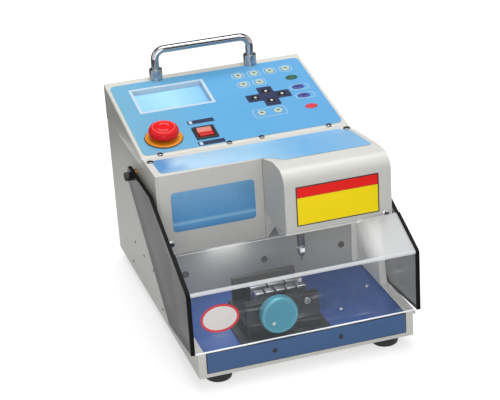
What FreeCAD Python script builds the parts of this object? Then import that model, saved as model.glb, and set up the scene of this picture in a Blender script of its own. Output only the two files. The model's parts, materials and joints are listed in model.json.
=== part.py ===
# Bench key duplicating machine: a low base with a chip tray, a boxed rear body, a spindle head over
# the key vise, a sloping control console with a carry handle, and a hinged clear shield.
# Millimetres, +X to the machine's right seen from the front, +Y to the rear, +Z up.
# The origin is under the middle of the machine, on the surface that it stands on.
import FreeCAD, Part
import math
import os
import Sketcher

doc = FreeCAD.newDocument("key_machine")
sheet_cells = doc.addObject("Spreadsheet::Sheet", "sizes")
nodes = {}


class Size:
    # A length with its value and the sheet formula that it comes from.
    def __init__(self, value, text):
        self.value = float(value)
        self.text = text

    def __add__(self, other):
        other = as_size(other)
        return Size(self.value + other.value, f"({self.text} + {other.text})")

    def __sub__(self, other):
        other = as_size(other)
        return Size(self.value - other.value, f"({self.text} - {other.text})")

    def __mul__(self, other):
        other = as_size(other)
        return Size(self.value * other.value, f"({self.text} * {other.text})")

    def __truediv__(self, other):
        other = as_size(other)
        return Size(self.value / other.value, f"({self.text} / {other.text})")

    def __radd__(self, other):
        return as_size(other) + self

    def __rsub__(self, other):
        return as_size(other) - self

    def __rmul__(self, other):
        return as_size(other) * self

    def __neg__(self):
        return as_size(0) - self


def as_size(number):
    if isinstance(number, Size):
        return number
    return Size(number, repr(float(number)))


def sine(angle):
    return Size(math.sin(math.radians(angle.value)), f"sin({angle.text})")


def cosine(angle):
    return Size(math.cos(math.radians(angle.value)), f"cos({angle.text})")


def size(name, value):
    row = len(sheet_aliases) + 1
    sheet_aliases.append(name)
    sheet_cells.set(f"A{row}", name)
    sheet_cells.set(f"B{row}", str(value))
    sheet_cells.setAlias(f"B{row}", name)
    return Size(value, f"sizes.{name}")


sheet_aliases = []

# Base, sheet metal and fits
base_width = size("base_width", 280)
base_depth = size("base_depth", 412)
base_height = size("base_height", 33)
foot_height = size("foot_height", 14)
foot_radius = size("foot_radius", 18.5)
foot_taper = size("foot_taper", 2)
foot_inset = size("foot_inset", 30)
foot_setback = size("foot_setback", 23)
steel = size("steel", 2.5)
gap = size("gap", 0.3)
running = size("running", 0.05)
blue_width = size("blue_width", 258)
blue_height = size("blue_height", 26)
blue_rise = size("blue_rise", 6.5)
blue_steel = size("blue_steel", 1.5)
tray_drop = size("tray_drop", 5)
tray_steel = size("tray_steel", 2)
ledge_width = size("ledge_width", 6)
ledge_height = size("ledge_height", 3)
rim_width = size("rim_width", 9)
rim_steel = size("rim_steel", 2)
inlet_proud = size("inlet_proud", 2)
shield_proud = size("shield_proud", 4)

# Rear body, column and heads, with depths from the base's front face
bay_depth = size("bay_depth", 165)
column_steel = size("column_steel", 6)
wing_toe = size("wing_toe", 85)
wing_brow = size("wing_brow", 104)
wing_shoulder = size("wing_shoulder", 128)
wing_round = size("wing_round", 20)
wing_fold = size("wing_fold", 6.5)
wall_depth = size("wall_depth", 148)
wall_bottom = size("wall_bottom", 113)
head_depth = size("head_depth", 62)
head_bottom = size("head_bottom", 152)
head_left = size("head_left", 0)
head_top = size("head_top", 224)
head_rise = size("head_rise", 11)
head_crown = size("head_crown", 104)
head_tail_gap = size("head_tail_gap", 22)
head_tail_lip = size("head_tail_lip", 0.8)
head_round = size("head_round", 19)
crown_round = size("crown_round", 90)
vent_width = size("vent_width", 70)
vent_height = size("vent_height", 3.5)
vent_pitch = size("vent_pitch", 9)
vent_bottom = size("vent_bottom", 130)
vent_side = size("vent_side", 30)

# Console and control panel, with places on the panel from its front edge
console_setback = size("console_setback", 0.3)
console_front = size("console_front", 12)
console_lip = size("console_lip", 1)
panel_length = size("panel_length", 203.17)
panel_slope = size("panel_slope", 10.6)
overlay_side = size("overlay_side", 5)
overlay_front = size("overlay_front", 6)
overlay_margin = size("overlay_margin", 13)
overlay_film = size("overlay_film", 0.6)
display_x = size("display_x", -61)
display_row = size("display_row", 140)
display_width = size("display_width", 102)
display_height = size("display_height", 63)
display_border = size("display_border", 2.5)
display_flange = size("display_flange", 1.5)
display_proud = size("display_proud", 0.3)
display_deep = size("display_deep", 9)
display_sink = size("display_sink", 5)
window_glass = size("window_glass", 1.2)
stop_x = size("stop_x", -100)
stop_row = size("stop_row", 39.5)
stop_collar_radius = size("stop_collar_radius", 25.4)
stop_collar_height = size("stop_collar_height", 2.5)
stop_stem_radius = size("stop_stem_radius", 11)
stop_barrel = size("stop_barrel", 2)
stop_reach = size("stop_reach", 14)
stop_stem_rise = size("stop_stem_rise", 4.2)
stop_head_radius = size("stop_head_radius", 20)
stop_head_height = size("stop_head_height", 11)
stop_head_round = size("stop_head_round", 5)
rocker_x = size("rocker_x", -45)
rocker_row = size("rocker_row", 36)
rocker_bezel = size("rocker_bezel", 30)
rocker_bezel_height = size("rocker_bezel_height", 2)
rocker_body = size("rocker_body", 26)
rocker_deep = size("rocker_deep", 16)
rocker_opening = size("rocker_opening", 22)
rocker_play = size("rocker_play", 1.1)
rocker_rise = size("rocker_rise", 4)
rocker_sink = size("rocker_sink", 4.5)
rocker_well = size("rocker_well", 8)
rocker_pin = size("rocker_pin", 1.5)
rocker_pin_sink = size("rocker_pin_sink", 2)
rocker_pin_reach = size("rocker_pin_reach", 1.4)
key_left = size("key_left", 41)
key_pitch = size("key_pitch", 23)
key_top_row = size("key_top_row", 165)
key_second_row = size("key_second_row", 140)
key_low_row = size("key_low_row", 60)
arrow_row = size("arrow_row", 100)
arrow_across = size("arrow_across", 19)
arrow_along = size("arrow_along", 12.7)
start_key_row = size("start_key_row", 138)
zero_key_row = size("zero_key_row", 111)
light_key_row = size("light_key_row", 87)
cancel_key_row = size("cancel_key_row", 57)
key_radius = size("key_radius", 6)
side_key_long = size("side_key_long", 8.5)
side_key_short = size("side_key_short", 5.5)
key_proud = size("key_proud", 1.2)
key_flange = size("key_flange", 1)
key_flange_height = size("key_flange_height", 0.8)
key_play = size("key_play", 0.2)
key_travel = size("key_travel", 0.6)
board_margin = size("board_margin", 14)
board_steel = size("board_steel", 1.6)
board_post = size("board_post", 2.5)

# Carry handle
handle_setback = size("handle_setback", 9.2)
handle_half = size("handle_half", 68)
handle_radius = size("handle_radius", 5.4)
handle_bend = size("handle_bend", 14)
handle_rise = size("handle_rise", 39.4)
handle_foot_rise = size("handle_foot_rise", 1.4)
ferrule_radius = size("ferrule_radius", 9)
ferrule_rise = size("ferrule_rise", 13)

# Shield, with depths from the base's front face
shield_plate = size("shield_plate", 5)
shield_gap = size("shield_gap", 4)
shield_sheet = size("shield_sheet", 3)
shield_bottom = size("shield_bottom", 50)
shield_heel = size("shield_heel", 42)
shield_heel_depth = size("shield_heel_depth", 100)
shield_bend = size("shield_bend", 129)
shield_lean = size("shield_lean", 24)
shield_fold = size("shield_fold", 7)
shield_crest = size("shield_crest", 10)
shield_head_gap = size("shield_head_gap", 4)
pivot_depth = size("pivot_depth", 252)
pivot_drop = size("pivot_drop", 25)
pivot_boss = size("pivot_boss", 20)
pivot_radius = size("pivot_radius", 4)
pivot_washer = size("pivot_washer", 8)
pivot_knob = size("pivot_knob", 9)
pivot_knob_height = size("pivot_knob_height", 8)

# Vise table, with depths from the base's front face
vise_x = size("vise_x", -23)
vise_depth = size("vise_depth", 58)
neck = size("neck", 30)
travel_x = size("travel_x", 20)
travel_y = size("travel_y", 28)
slot_gap = size("slot_gap", 1)
skirt_lap = size("skirt_lap", 2)
skirt_steel = size("skirt_steel", 2)
rail_height = size("rail_height", 7)
rail_width = size("rail_width", 12)
rail_spread = size("rail_spread", 50)
rail_length = size("rail_length", 135)
rail_start = size("rail_start", 15)
saddle_left = size("saddle_left", -118)
saddle_right = size("saddle_right", 112)
saddle_half = size("saddle_half", 26)
saddle_plate = size("saddle_plate", 4.5)
way_height = size("way_height", 6.4)
way_width = size("way_width", 6)
way_left = size("way_left", -92)
way_right = size("way_right", 74)
carriage_half = size("carriage_half", 40)
carriage_half_depth = size("carriage_half_depth", 24)
carriage_plate = size("carriage_plate", 4.5)
screw_x_radius = size("screw_x_radius", 2.5)
screw_x_rise = size("screw_x_rise", 3.6)
nut_x_length = size("nut_x_length", 14)
nut_x_half = size("nut_x_half", 7)
bearing_length = size("bearing_length", 6)
motor_x_size = size("motor_x_size", 18)
motor_x_height = size("motor_x_height", 9)
screw_y_x = size("screw_y_x", 100)
screw_y_radius = size("screw_y_radius", 4)
screw_y_rise = size("screw_y_rise", 4.8)
nut_y_half = size("nut_y_half", 8)
nut_y_height = size("nut_y_height", 9.5)
bearing_y_start = size("bearing_y_start", 8)
motor_size = size("motor_size", 28)
motor_length = size("motor_length", 32)

# Vise, with depths from the base's front face and heights above the skirt
vise_left = size("vise_left", -70)
vise_right = size("vise_right", 24)
vise_front = size("vise_front", 20)
vise_rear = size("vise_rear", 102)
vise_bed = size("vise_bed", 15)
nut_block_depth = size("nut_block_depth", 12)
front_block_top = size("front_block_top", 45)
jaw_height = size("jaw_height", 47.4)
jaw_left = size("jaw_left", -52)
jaw_right = size("jaw_right", 16)
jaw_front = size("jaw_front", 40)
jaw_gap_front = size("jaw_gap_front", 52)
jaw_opening = size("jaw_opening", 8)
jaw_back_depth = size("jaw_back_depth", 15)
back_plate = size("back_plate", 8)
back_plate_top = size("back_plate_top", 47)
back_plate_inset = size("back_plate_inset", 5)
knob_x = size("knob_x", -32)
knob_rise = size("knob_rise", 31.4)
knob_radius = size("knob_radius", 24)
knob_front = size("knob_front", 3)
knob_length = size("knob_length", 13)
knob_round = size("knob_round", 3)
hub_radius = size("hub_radius", 9)
clamp_screw_radius = size("clamp_screw_radius", 5)

# Spindle and its vertical slide
spindle_x = size("spindle_x", 24)
spindle_depth = size("spindle_depth", 80)
spindle_hole = size("spindle_hole", 8)
nose_radius = size("nose_radius", 5)
nose_reach = size("nose_reach", 32)
collet_length = size("collet_length", 7)
collet_tip = size("collet_tip", 2.5)
cutter_radius = size("cutter_radius", 1.6)
cutter_length = size("cutter_length", 6)
motor_below = size("motor_below", 6)
motor_above = size("motor_above", 3.5)
motor_radius = size("motor_radius", 12)
arm_left = size("arm_left", 7)
arm_right = size("arm_right", 41)
arm_front = size("arm_front", 66)
arm_height = size("arm_height", 12.5)
arm_drop = size("arm_drop", 22.5)
slide_left = size("slide_left", 30)
slide_right = size("slide_right", 112)
slide_plate = size("slide_plate", 7)
slide_skirt = size("slide_skirt", 5)
rail_z_height = size("rail_z_height", 8)
rail_z_width = size("rail_z_width", 10)
rail_z_end = size("rail_z_end", 5)
rail_z_left = size("rail_z_left", 42)
rail_z_right = size("rail_z_right", 100)
screw_z_x = size("screw_z_x", 70)
screw_z_depth = size("screw_z_depth", 138)
screw_z_radius = size("screw_z_radius", 4)
screw_z_clear = size("screw_z_clear", 6)
nut_z_half = size("nut_z_half", 8)
bracket_clear = size("bracket_clear", 1.5)
bracket_steel = size("bracket_steel", 2)
motor_z_size = size("motor_z_size", 24)
motor_z_height = size("motor_z_height", 14.5)

# Inlet, electronics and fasteners
inlet_x = size("inlet_x", -80)
inlet_height = size("inlet_height", 90)
inlet_flange_width = size("inlet_flange_width", 50)
inlet_flange_height = size("inlet_flange_height", 28)
inlet_width = size("inlet_width", 28)
inlet_tall = size("inlet_tall", 21)
inlet_deep = size("inlet_deep", 20)
inlet_wall = size("inlet_wall", 2)
inlet_socket = size("inlet_socket", 16)
inlet_pin = size("inlet_pin", 10)
inlet_pin_width = size("inlet_pin_width", 2)
inlet_pin_tall = size("inlet_pin_tall", 4)
inlet_pin_pitch = size("inlet_pin_pitch", 7)
control_board_gap = size("control_board_gap", 8)
control_board_depth = size("control_board_depth", 235)
control_board_width = size("control_board_width", 160)
control_board_length = size("control_board_length", 110)
control_board_rise = size("control_board_rise", 8)
supply_gap = size("supply_gap", 9.5)
supply_width = size("supply_width", 58)
supply_height = size("supply_height", 42)
screw_head_radius = size("screw_head_radius", 3)
screw_head_height = size("screw_head_height", 1.5)
column_bolt_radius = size("column_bolt_radius", 4.5)
column_bolt_pitch = size("column_bolt_pitch", 107)
column_bolt_height = size("column_bolt_height", 75)
front_screw_x = size("front_screw_x", 43)
panel_screw_inner = size("panel_screw_inner", 22)
panel_screw_outer = size("panel_screw_outer", 115)
panel_screw_row = size("panel_screw_row", 3)
panel_screw_radius = size("panel_screw_radius", 2.5)
roof_screw_side = size("roof_screw_side", 7)

# Places that several pieces share
half = base_width / 2
inner = half - steel
front = (shield_proud - inlet_proud - base_depth) / 2
rear = front + base_depth
pan_floor = foot_height + steel
rim = foot_height + base_height
tray_top = rim - tray_drop
tray_bottom = tray_top - tray_steel
column_face = front + bay_depth
column_back = column_face + column_steel
wall_face = front + wall_depth
head_face = front + head_depth
head_right = inner - gap
deck = head_top - console_front
console_rear = rear - console_setback
console_face = console_rear - panel_length * cosine(panel_slope)
console_half = half + console_lip
overlay_half = console_half - overlay_side
console_peak = head_top + panel_length * sine(panel_slope)
pivot_y = front + pivot_depth
pivot_height = deck - pivot_drop
plate_inner = half + shield_gap
plate_outer = plate_inner + shield_plate
vise_y = front + vise_depth
spindle_y = front + spindle_depth
skirt_bottom = tray_top + gap * 2
skirt_top = skirt_bottom + skirt_steel
panel_frame = (
    f"placement(vector(0; {console_face.text}; {head_top.text}); "
    f"rotation(vector(1; 0; 0); {panel_slope.text}))"
)


def bind(item, prop, value):
    item.setExpression(prop, as_size(value).text)


def place(item, x, y, z):
    for axis, value in zip("xyz", (x, y, z)):
        bind(item, f"Placement.Base.{axis}", value)
    return item


def box(x, y, z, width, depth, height):
    item = doc.addObject("Part::Box", "box")
    bind(item, "Length", width)
    bind(item, "Width", depth)
    bind(item, "Height", height)
    return place(item, x, y, z)


def span(low, high):
    # A box from its lowest to its highest corner.
    lengths = [as_size(top) - bottom for bottom, top in zip(low, high)]
    return box(*low, *lengths)


turns = {
    "x": FreeCAD.Rotation(FreeCAD.Vector(0, 1, 0), 90),
    "y": FreeCAD.Rotation(FreeCAD.Vector(1, 0, 0), -90),
    "z": FreeCAD.Rotation(),
}


def rod(axis, x, y, z, radius, length):
    # A round bar whose first end is centred at x, y, z.
    item = doc.addObject("Part::Cylinder", "rod")
    item.Placement = FreeCAD.Placement(FreeCAD.Vector(), turns[axis])
    bind(item, "Radius", radius)
    bind(item, "Height", length)
    return place(item, x, y, z)


def cone(axis, x, y, z, first_radius, last_radius, length):
    item = doc.addObject("Part::Cone", "cone")
    item.Placement = FreeCAD.Placement(FreeCAD.Vector(), turns[axis])
    bind(item, "Radius1", first_radius)
    bind(item, "Radius2", last_radius)
    bind(item, "Height", length)
    return place(item, x, y, z)


def oval(x, y, z, long_radius, short_radius, length):
    # An elliptical bar along Z.
    ring = doc.addObject("Part::Ellipse", "oval_ring")
    bind(ring, "MajorRadius", long_radius)
    bind(ring, "MinorRadius", short_radius)
    place(ring, x, y, z)
    item = doc.addObject("Part::Extrusion", "oval")
    item.Base = ring
    item.DirMode = "Custom"
    item.Dir = FreeCAD.Vector(0, 0, 1)
    item.Solid = True
    bind(item, "LengthFwd", length)
    return item


def bend(x, y, z, bend_radius, bar_radius, turn):
    # A quarter bend of a round bar, centred at x, y, z.
    item = doc.addObject("Part::Torus", "bend")
    item.Placement = FreeCAD.Placement(FreeCAD.Vector(), turn)
    bind(item, "Radius1", bend_radius)
    bind(item, "Radius2", bar_radius)
    item.Angle3 = 90
    return place(item, x, y, z)


def join(*pieces):
    item = doc.addObject("Part::MultiFuse", "join")
    item.Shapes = list(pieces)
    item.Refine = True
    return item


def group(*pieces):
    item = doc.addObject("Part::Compound", "group")
    item.Links = list(pieces)
    return item


def cut(piece, *tools):
    item = doc.addObject("Part::Cut", "cut")
    item.Base = piece
    item.Tool = tools[0] if len(tools) == 1 else group(*tools)
    return item


def outline(points, start, width, rounds=()):
    # A plate or block along X with its outline in Y and Z. rounds holds (point number, radius).
    body = doc.addObject("PartDesign::Body", "plate")
    sketch = body.newObject("Sketcher::SketchObject", "plate_outline")
    plane = [feature for feature in body.Origin.OriginFeatures if feature.Role == "YZ_Plane"][0]
    sketch.AttachmentSupport = [(plane, "")]
    sketch.MapMode = "FlatFace"
    corners = [(as_size(y), as_size(z)) for y, z in points]
    for number, (y, z) in enumerate(corners):
        next_y, next_z = corners[(number + 1) % len(corners)]
        ends = FreeCAD.Vector(y.value, z.value), FreeCAD.Vector(next_y.value, next_z.value)
        sketch.addGeometry(Part.LineSegment(*ends))
    for number in range(len(corners)):
        after = (number + 1) % len(corners)
        sketch.addConstraint(Sketcher.Constraint("Coincident", number, 2, after, 1))
    for number, corner in enumerate(corners):
        for kind, value in zip(("DistanceX", "DistanceY"), corner):
            constraint = Sketcher.Constraint(kind, -1, 1, number, 1, value.value)
            index = sketch.addConstraint(constraint)
            sketch.setExpression(f"Constraints[{index}]", value.text)
    pad = body.newObject("PartDesign::Pad", "plate_pad")
    pad.Profile = sketch
    bind(pad, "Length", width)
    bind(body, "Placement.Base.x", start)
    doc.recompute()
    for number, radius in rounds:
        y, z = corners[number]
        last = body.Tip
        fillet = body.newObject("PartDesign::Fillet", "plate_round")
        fillet.Base = (last, edges_at(last.Shape, y.value, z.value))
        bind(fillet, "Radius", radius)
        body.Tip = fillet
        doc.recompute()
    return body


def edges_at(shape, y, z):
    # The edges along X that pass through one point of the outline.
    names = []
    for number, edge in enumerate(shape.Edges, 1):
        offsets = [max(abs(vertex.Point.y - y), abs(vertex.Point.z - z)) for vertex in edge.Vertexes]
        if max(offsets) < 0.001:
            names.append(f"Edge{number}")
    return names


def puck(radius, height, rounding):
    # A round block along Z with its top edge rounded.
    body = doc.addObject("PartDesign::Body", "puck")
    sketch = body.newObject("Sketcher::SketchObject", "puck_circle")
    plane = [feature for feature in body.Origin.OriginFeatures if feature.Role == "XY_Plane"][0]
    sketch.AttachmentSupport = [(plane, "")]
    sketch.MapMode = "FlatFace"
    middle = FreeCAD.Vector(0, 0, 0)
    sketch.addGeometry(Part.Circle(middle, FreeCAD.Vector(0, 0, 1), radius.value))
    sketch.addConstraint(Sketcher.Constraint("Coincident", 0, 3, -1, 1))
    index = sketch.addConstraint(Sketcher.Constraint("Radius", 0, radius.value))
    sketch.setExpression(f"Constraints[{index}]", radius.text)
    pad = body.newObject("PartDesign::Pad", "puck_pad")
    pad.Profile = sketch
    bind(pad, "Length", height)
    doc.recompute()
    rims = []
    for number, edge in enumerate(pad.Shape.Edges, 1):
        if edge.BoundBox.ZMin > height.value - 0.001:
            rims.append(f"Edge{number}")
    fillet = body.newObject("PartDesign::Fillet", "puck_round")
    fillet.Base = (pad, rims)
    bind(fillet, "Radius", rounding)
    body.Tip = fillet
    doc.recompute()
    return body


def node(label, item, on_panel=False):
    # on_panel lays a piece that was made flat, with Y up the slope, on the control panel.
    if on_panel:
        item = group(item)
        item.setExpression("Placement", panel_frame)
    item.Label = label
    nodes[label] = item
    return item


def mirrored_x(maker):
    return group(maker(-1), maker(1))


# Base pan: an open steel pan with two ledges that carry the tray floor
pan_block = box(-half, front, foot_height, base_width, base_depth, base_height)
pan_hollow = span((-inner, front + steel, pan_floor), (inner, rear - steel, rim + steel))
ledge_low = tray_bottom - ledge_height
ledge_end = column_face - gap
left_ledge = span((-inner, front + steel, ledge_low), (ledge_width - inner, ledge_end, tray_bottom))
right_ledge = span((inner - ledge_width, front + steel, ledge_low), (inner, ledge_end, tray_bottom))
left_rim = span((-inner, front + steel, rim - rim_steel), (rim_width - half, ledge_end, rim))
right_rim = span((half - rim_width, front + steel, rim - rim_steel), (inner, ledge_end, rim))
node("base_pan", join(cut(pan_block, pan_hollow), left_ledge, right_ledge, left_rim, right_rim))

blue_bottom = foot_height + blue_rise
node(
    "blue_front_panel",
    box(-blue_width / 2, front - blue_steel, blue_bottom, blue_width, blue_steel, blue_height),
)

tray = span(
    (gap - inner, front + steel + gap, tray_bottom),
    (inner - gap, column_face - gap, tray_top),
)
slot_x = neck / 2 + travel_x + slot_gap
slot_front = vise_y - neck / 2 - slot_gap
slot_rear = vise_y + neck / 2 + travel_y + slot_gap
tray_slot = span(
    (vise_x - slot_x, slot_front, tray_bottom - gap),
    (vise_x + slot_x, slot_rear, tray_top + gap),
)
node("tray_floor", cut(tray, tray_slot))

feet = []
for foot_x in (foot_inset - half, half - foot_inset):
    for foot_y in (front + foot_setback, rear - foot_setback):
        feet.append(cone("z", foot_x, foot_y, 0, foot_radius - foot_taper, foot_radius, foot_height))
node("rubber_feet", group(*feet))

# Side panels with forward wings beside the work bay
wing = [
    (front + wing_toe, rim),
    (front + wing_brow, wing_shoulder),
    (wall_face, head_bottom),
    (wall_face, head_top - steel),
    (console_face, head_top - steel),
    (console_face, deck),
    (rear, deck),
    (rear, rim),
]
fold = [
    (front + wing_toe, rim),
    (front + wing_brow, wing_shoulder),
    (wall_face - gap, wing_shoulder),
    (wall_face - gap, wall_bottom - gap),
    (column_face - gap, wall_bottom - gap),
    (column_face - gap, rim),
]
for side, start, fold_start in (("left", -half, -inner), ("right", inner, inner - wing_fold)):
    sheet = outline(wing, start, steel, [(1, wing_round)])
    panel = join(sheet, outline(fold, fold_start, wing_fold, [(1, wing_round)]))
    pivot_hole = rod("x", start - gap, pivot_y, pivot_height, pivot_radius + running, steel + gap * 2)
    node(f"{side}_side_panel", cut(panel, pivot_hole))

# Rear panel: an upright sheet with vents and the inlet opening, and a ledge under the console's back
upright = span((-inner, rear - steel, rim), (inner, rear, deck - steel))
ledge = span((-inner, console_rear - steel * 4, deck - steel), (inner, rear, deck))
rear_openings = []
vent_count = 6
for number in range(vent_count):
    vent_z = vent_bottom + vent_pitch * number
    for vent_x in (-vent_side - vent_width, vent_side):
        rear_openings.append(box(vent_x, rear - steel * 2, vent_z, vent_width, steel * 3, vent_height))
rear_openings.append(
    box(
        inlet_x - inlet_width / 2 - gap,
        rear - steel * 2,
        inlet_height - inlet_tall / 2 - gap,
        inlet_width + gap * 2,
        steel * 3,
        inlet_tall + gap * 2,
    )
)
node("rear_panel", cut(join(upright, ledge), *rear_openings))

# Column plate behind the work bay, which carries the vertical slide and the rear motor
screw_y_z = pan_floor + rail_height + gap + saddle_plate + screw_y_rise
column = span((gap - inner, column_face, pan_floor), (inner - gap, column_back, head_top - steel - gap))
column_hole = rod(
    "y", screw_y_x, column_face - gap, screw_y_z, screw_y_radius + slot_gap, column_steel + gap * 2
)
node("column_plate", cut(column, column_hole))

# Head cover: the left wall, its lip back to the column and the top between wall and console
head_wall = span((-inner, wall_face, wall_bottom), (head_left, wall_face + steel, head_top - steel))
head_roof = span((-half, wall_face, head_top - steel), (half, console_face, head_top))
head_lip = span((-inner, wall_face, wall_bottom), (head_left, column_face, wall_bottom + steel))
node("head_cover", join(head_wall, head_roof, head_lip))

# Spindle head cover: a deep box with a rounded brow, open at the back, whose top runs down onto the roof
head_brow = head_top + head_rise
tail_end = console_face - head_tail_gap
tail_slope = (head_rise - head_tail_lip) / (tail_end - front - head_crown)
brow_at_wall = head_brow - (wall_face - front - head_crown) * tail_slope
head_shape = [
    (column_face, head_bottom),
    (head_face, head_bottom),
    (head_face, head_brow),
    (front + head_crown, head_brow),
    (tail_end, head_top + head_tail_lip),
    (tail_end, head_top),
    (wall_face, head_top),
    (wall_face, head_top - steel),
    (column_face, head_top - steel),
]
head_room = [
    (column_face + steel, head_bottom + steel),
    (head_face + steel, head_bottom + steel),
    (head_face + steel, head_brow - steel),
    (front + head_crown, head_brow - steel),
    (wall_face - steel, brow_at_wall - steel),
    (wall_face - steel, head_top - steel),
    (column_face + steel, head_top - steel),
]
head_block = outline(head_shape, head_left, half - head_left, [(2, head_round), (3, crown_round)])
hollow_width = head_right - head_left - steel * 2
head_hollow = outline(head_room, head_left + steel, hollow_width, [(2, head_round - steel)])
side_relief = span(
    (head_right, wall_face, head_bottom - gap),
    (half + gap, column_face + gap, head_top - steel),
)
nose_hole = rod("z", spindle_x, spindle_y, head_bottom - steel, spindle_hole, steel * 3)
node("spindle_head_cover", cut(cut(head_block, head_hollow), nose_hole, side_relief))

# Console shell: a wedge open underneath
console_shape = [
    (console_face, deck),
    (console_face, head_top),
    (console_rear, console_peak),
    (console_rear, deck),
]
wall_drop = steel - steel * sine(panel_slope)
console_room = [
    (console_face + steel, deck - steel),
    (console_face + steel, head_top - wall_drop),
    (console_rear - steel, console_peak - steel - steel * sine(panel_slope)),
    (console_rear - steel, deck - steel),
]
console_block = outline(console_shape, -console_half, console_half * 2)
console_hollow = outline(console_room, -inner, inner * 2)

# Openings through the panel and its overlay, flat: X across, Y up the slope, Z out of the panel
skin_low = -steel * 2
skin_deep = steel * 4


def panel_opening(x, row, width, height):
    return box(x - width / 2, row - height / 2, skin_low, width, height, skin_deep)


def key_columns(count):
    return [key_left + key_pitch * number for number in range(count)]


round_keys = {}
for number, column_x in enumerate(key_columns(4), 1):
    round_keys[f"menu_key_{number}"] = (column_x, key_top_row)
for number, column_x in enumerate(key_columns(2), 5):
    round_keys[f"menu_key_{number}"] = (column_x, key_second_row)
for number, column_x in enumerate(key_columns(2), 1):
    round_keys[f"edit_key_{number}"] = (column_x, key_low_row)
arrow_x = key_left + key_pitch
round_keys["arrow_key_left"] = (arrow_x - arrow_across, arrow_row)
round_keys["arrow_key_right"] = (arrow_x + arrow_across, arrow_row)
round_keys["arrow_key_up"] = (arrow_x, arrow_row + arrow_along)
round_keys["arrow_key_down"] = (arrow_x, arrow_row - arrow_along)
side_key_x = key_left + key_pitch * 3
side_keys = {
    "start_key": start_key_row,
    "zero_key": zero_key_row,
    "light_key": light_key_row,
    "cancel_key": cancel_key_row,
}

panel_openings = [
    panel_opening(display_x, display_row, display_width, display_height),
    panel_opening(rocker_x, rocker_row, rocker_body + gap * 2, rocker_body + gap * 2),
    rod("z", stop_x, stop_row, skin_low, stop_stem_radius + stop_barrel + gap, skin_deep),
]
for key_x, key_row in round_keys.values():
    panel_openings.append(rod("z", key_x, key_row, skin_low, key_radius + key_play, skin_deep))
for key_row in side_keys.values():
    hole_long = side_key_long + key_play
    panel_openings.append(
        oval(side_key_x, key_row, skin_low, hole_long, side_key_short + key_play, skin_deep)
    )
panel_cutter = group(*panel_openings)
panel_cutter.setExpression("Placement", panel_frame)
node("console_shell", cut(cut(console_block, console_hollow), panel_cutter))

overlay_rear = panel_length - overlay_margin
overlay_cutter = group(*panel_openings)
overlay = span((-overlay_half, overlay_front, 0), (overlay_half, overlay_rear, overlay_film))
node("panel_overlay", cut(overlay, overlay_cutter), on_panel=True)


# Display: a frame in the opening, a window in the frame and the module behind
def display_plate(margin, low, high):
    width = display_width + margin * 2
    height = display_height + margin * 2
    return box(display_x - width / 2, display_row - height / 2, low, width, height, as_size(high) - low)


display_low = -steel - display_sink
display_frame = join(
    display_plate(display_flange, overlay_film, overlay_film + display_proud),
    display_plate(-gap, display_low, overlay_film),
)
display_hole = display_plate(-display_border, display_low - steel, steel)
node("display_bezel", cut(display_frame, display_hole), on_panel=True)
window_low = display_low + gap
window = display_plate(-display_border - gap, window_low, window_low + window_glass)
node("display_window", window, on_panel=True)
node("display_module", display_plate(steel, display_low - display_deep, display_low), on_panel=True)

# Emergency stop: a fixed collar, a plunger that slides in it and a mushroom head that twists on top
collar_top = overlay_film + stop_collar_height
collar_ring = rod("z", stop_x, stop_row, overlay_film, stop_collar_radius, stop_collar_height)
collar_barrel = rod(
    "z", stop_x, stop_row, -stop_reach, stop_stem_radius + stop_barrel, stop_reach + collar_top
)
collar_bore = rod("z", stop_x, stop_row, -stop_reach * 2, stop_stem_radius + running, stop_reach * 4)
node("stop_collar", cut(join(collar_ring, collar_barrel), collar_bore), on_panel=True)
stem_length = stop_reach + collar_top + stop_stem_rise
node(
    "stop_plunger",
    rod("z", stop_x, stop_row, -stop_reach, stop_stem_radius, stem_length),
    on_panel=True,
)
mushroom = puck(stop_head_radius, stop_head_height, stop_head_round)
node("stop_head", place(mushroom, stop_x, stop_row, collar_top + stop_stem_rise + gap), on_panel=True)


# Mains rocker switch
def switch_block(wide, low, high):
    return box(rocker_x - wide / 2, rocker_row - wide / 2, low, wide, wide, as_size(high) - low)


switch_top = overlay_film + rocker_bezel_height
switch_frame = join(
    switch_block(rocker_bezel, overlay_film, switch_top),
    switch_block(rocker_body, -rocker_deep, overlay_film),
)
switch_room = switch_block(rocker_opening, -rocker_well, switch_top + steel)


def rocker_axle(play):
    # The rocker's pivot pin, or with play the holes that it runs in.
    axle_half = rocker_opening / 2 + rocker_pin_reach + play
    return rod("x", rocker_x - axle_half, rocker_row, -rocker_pin_sink, rocker_pin + play, axle_half * 2)


node("switch_bezel", cut(switch_frame, switch_room, rocker_axle(running)), on_panel=True)
rocker_cap = switch_block(rocker_opening - rocker_play * 2, -rocker_sink, rocker_rise)
node("power_rocker", join(rocker_cap, rocker_axle(0)), on_panel=True)

# Keys: caps through the overlay, each held under the panel by a flange
key_low = -steel - gap - key_flange_height
key_length = overlay_film + key_proud - key_low
for name, (key_x, key_row) in round_keys.items():
    cap = rod("z", key_x, key_row, key_low, key_radius, key_length)
    flange = rod("z", key_x, key_row, key_low, key_radius + key_flange, key_flange_height)
    node(name, join(cap, flange), on_panel=True)
for name, key_row in side_keys.items():
    cap = oval(side_key_x, key_row, key_low, side_key_long, side_key_short, key_length)
    flange_long = side_key_long + key_flange
    flange = oval(
        side_key_x, key_row, key_low, flange_long, side_key_short + key_flange, key_flange_height
    )
    node(name, join(cap, flange), on_panel=True)

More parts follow.
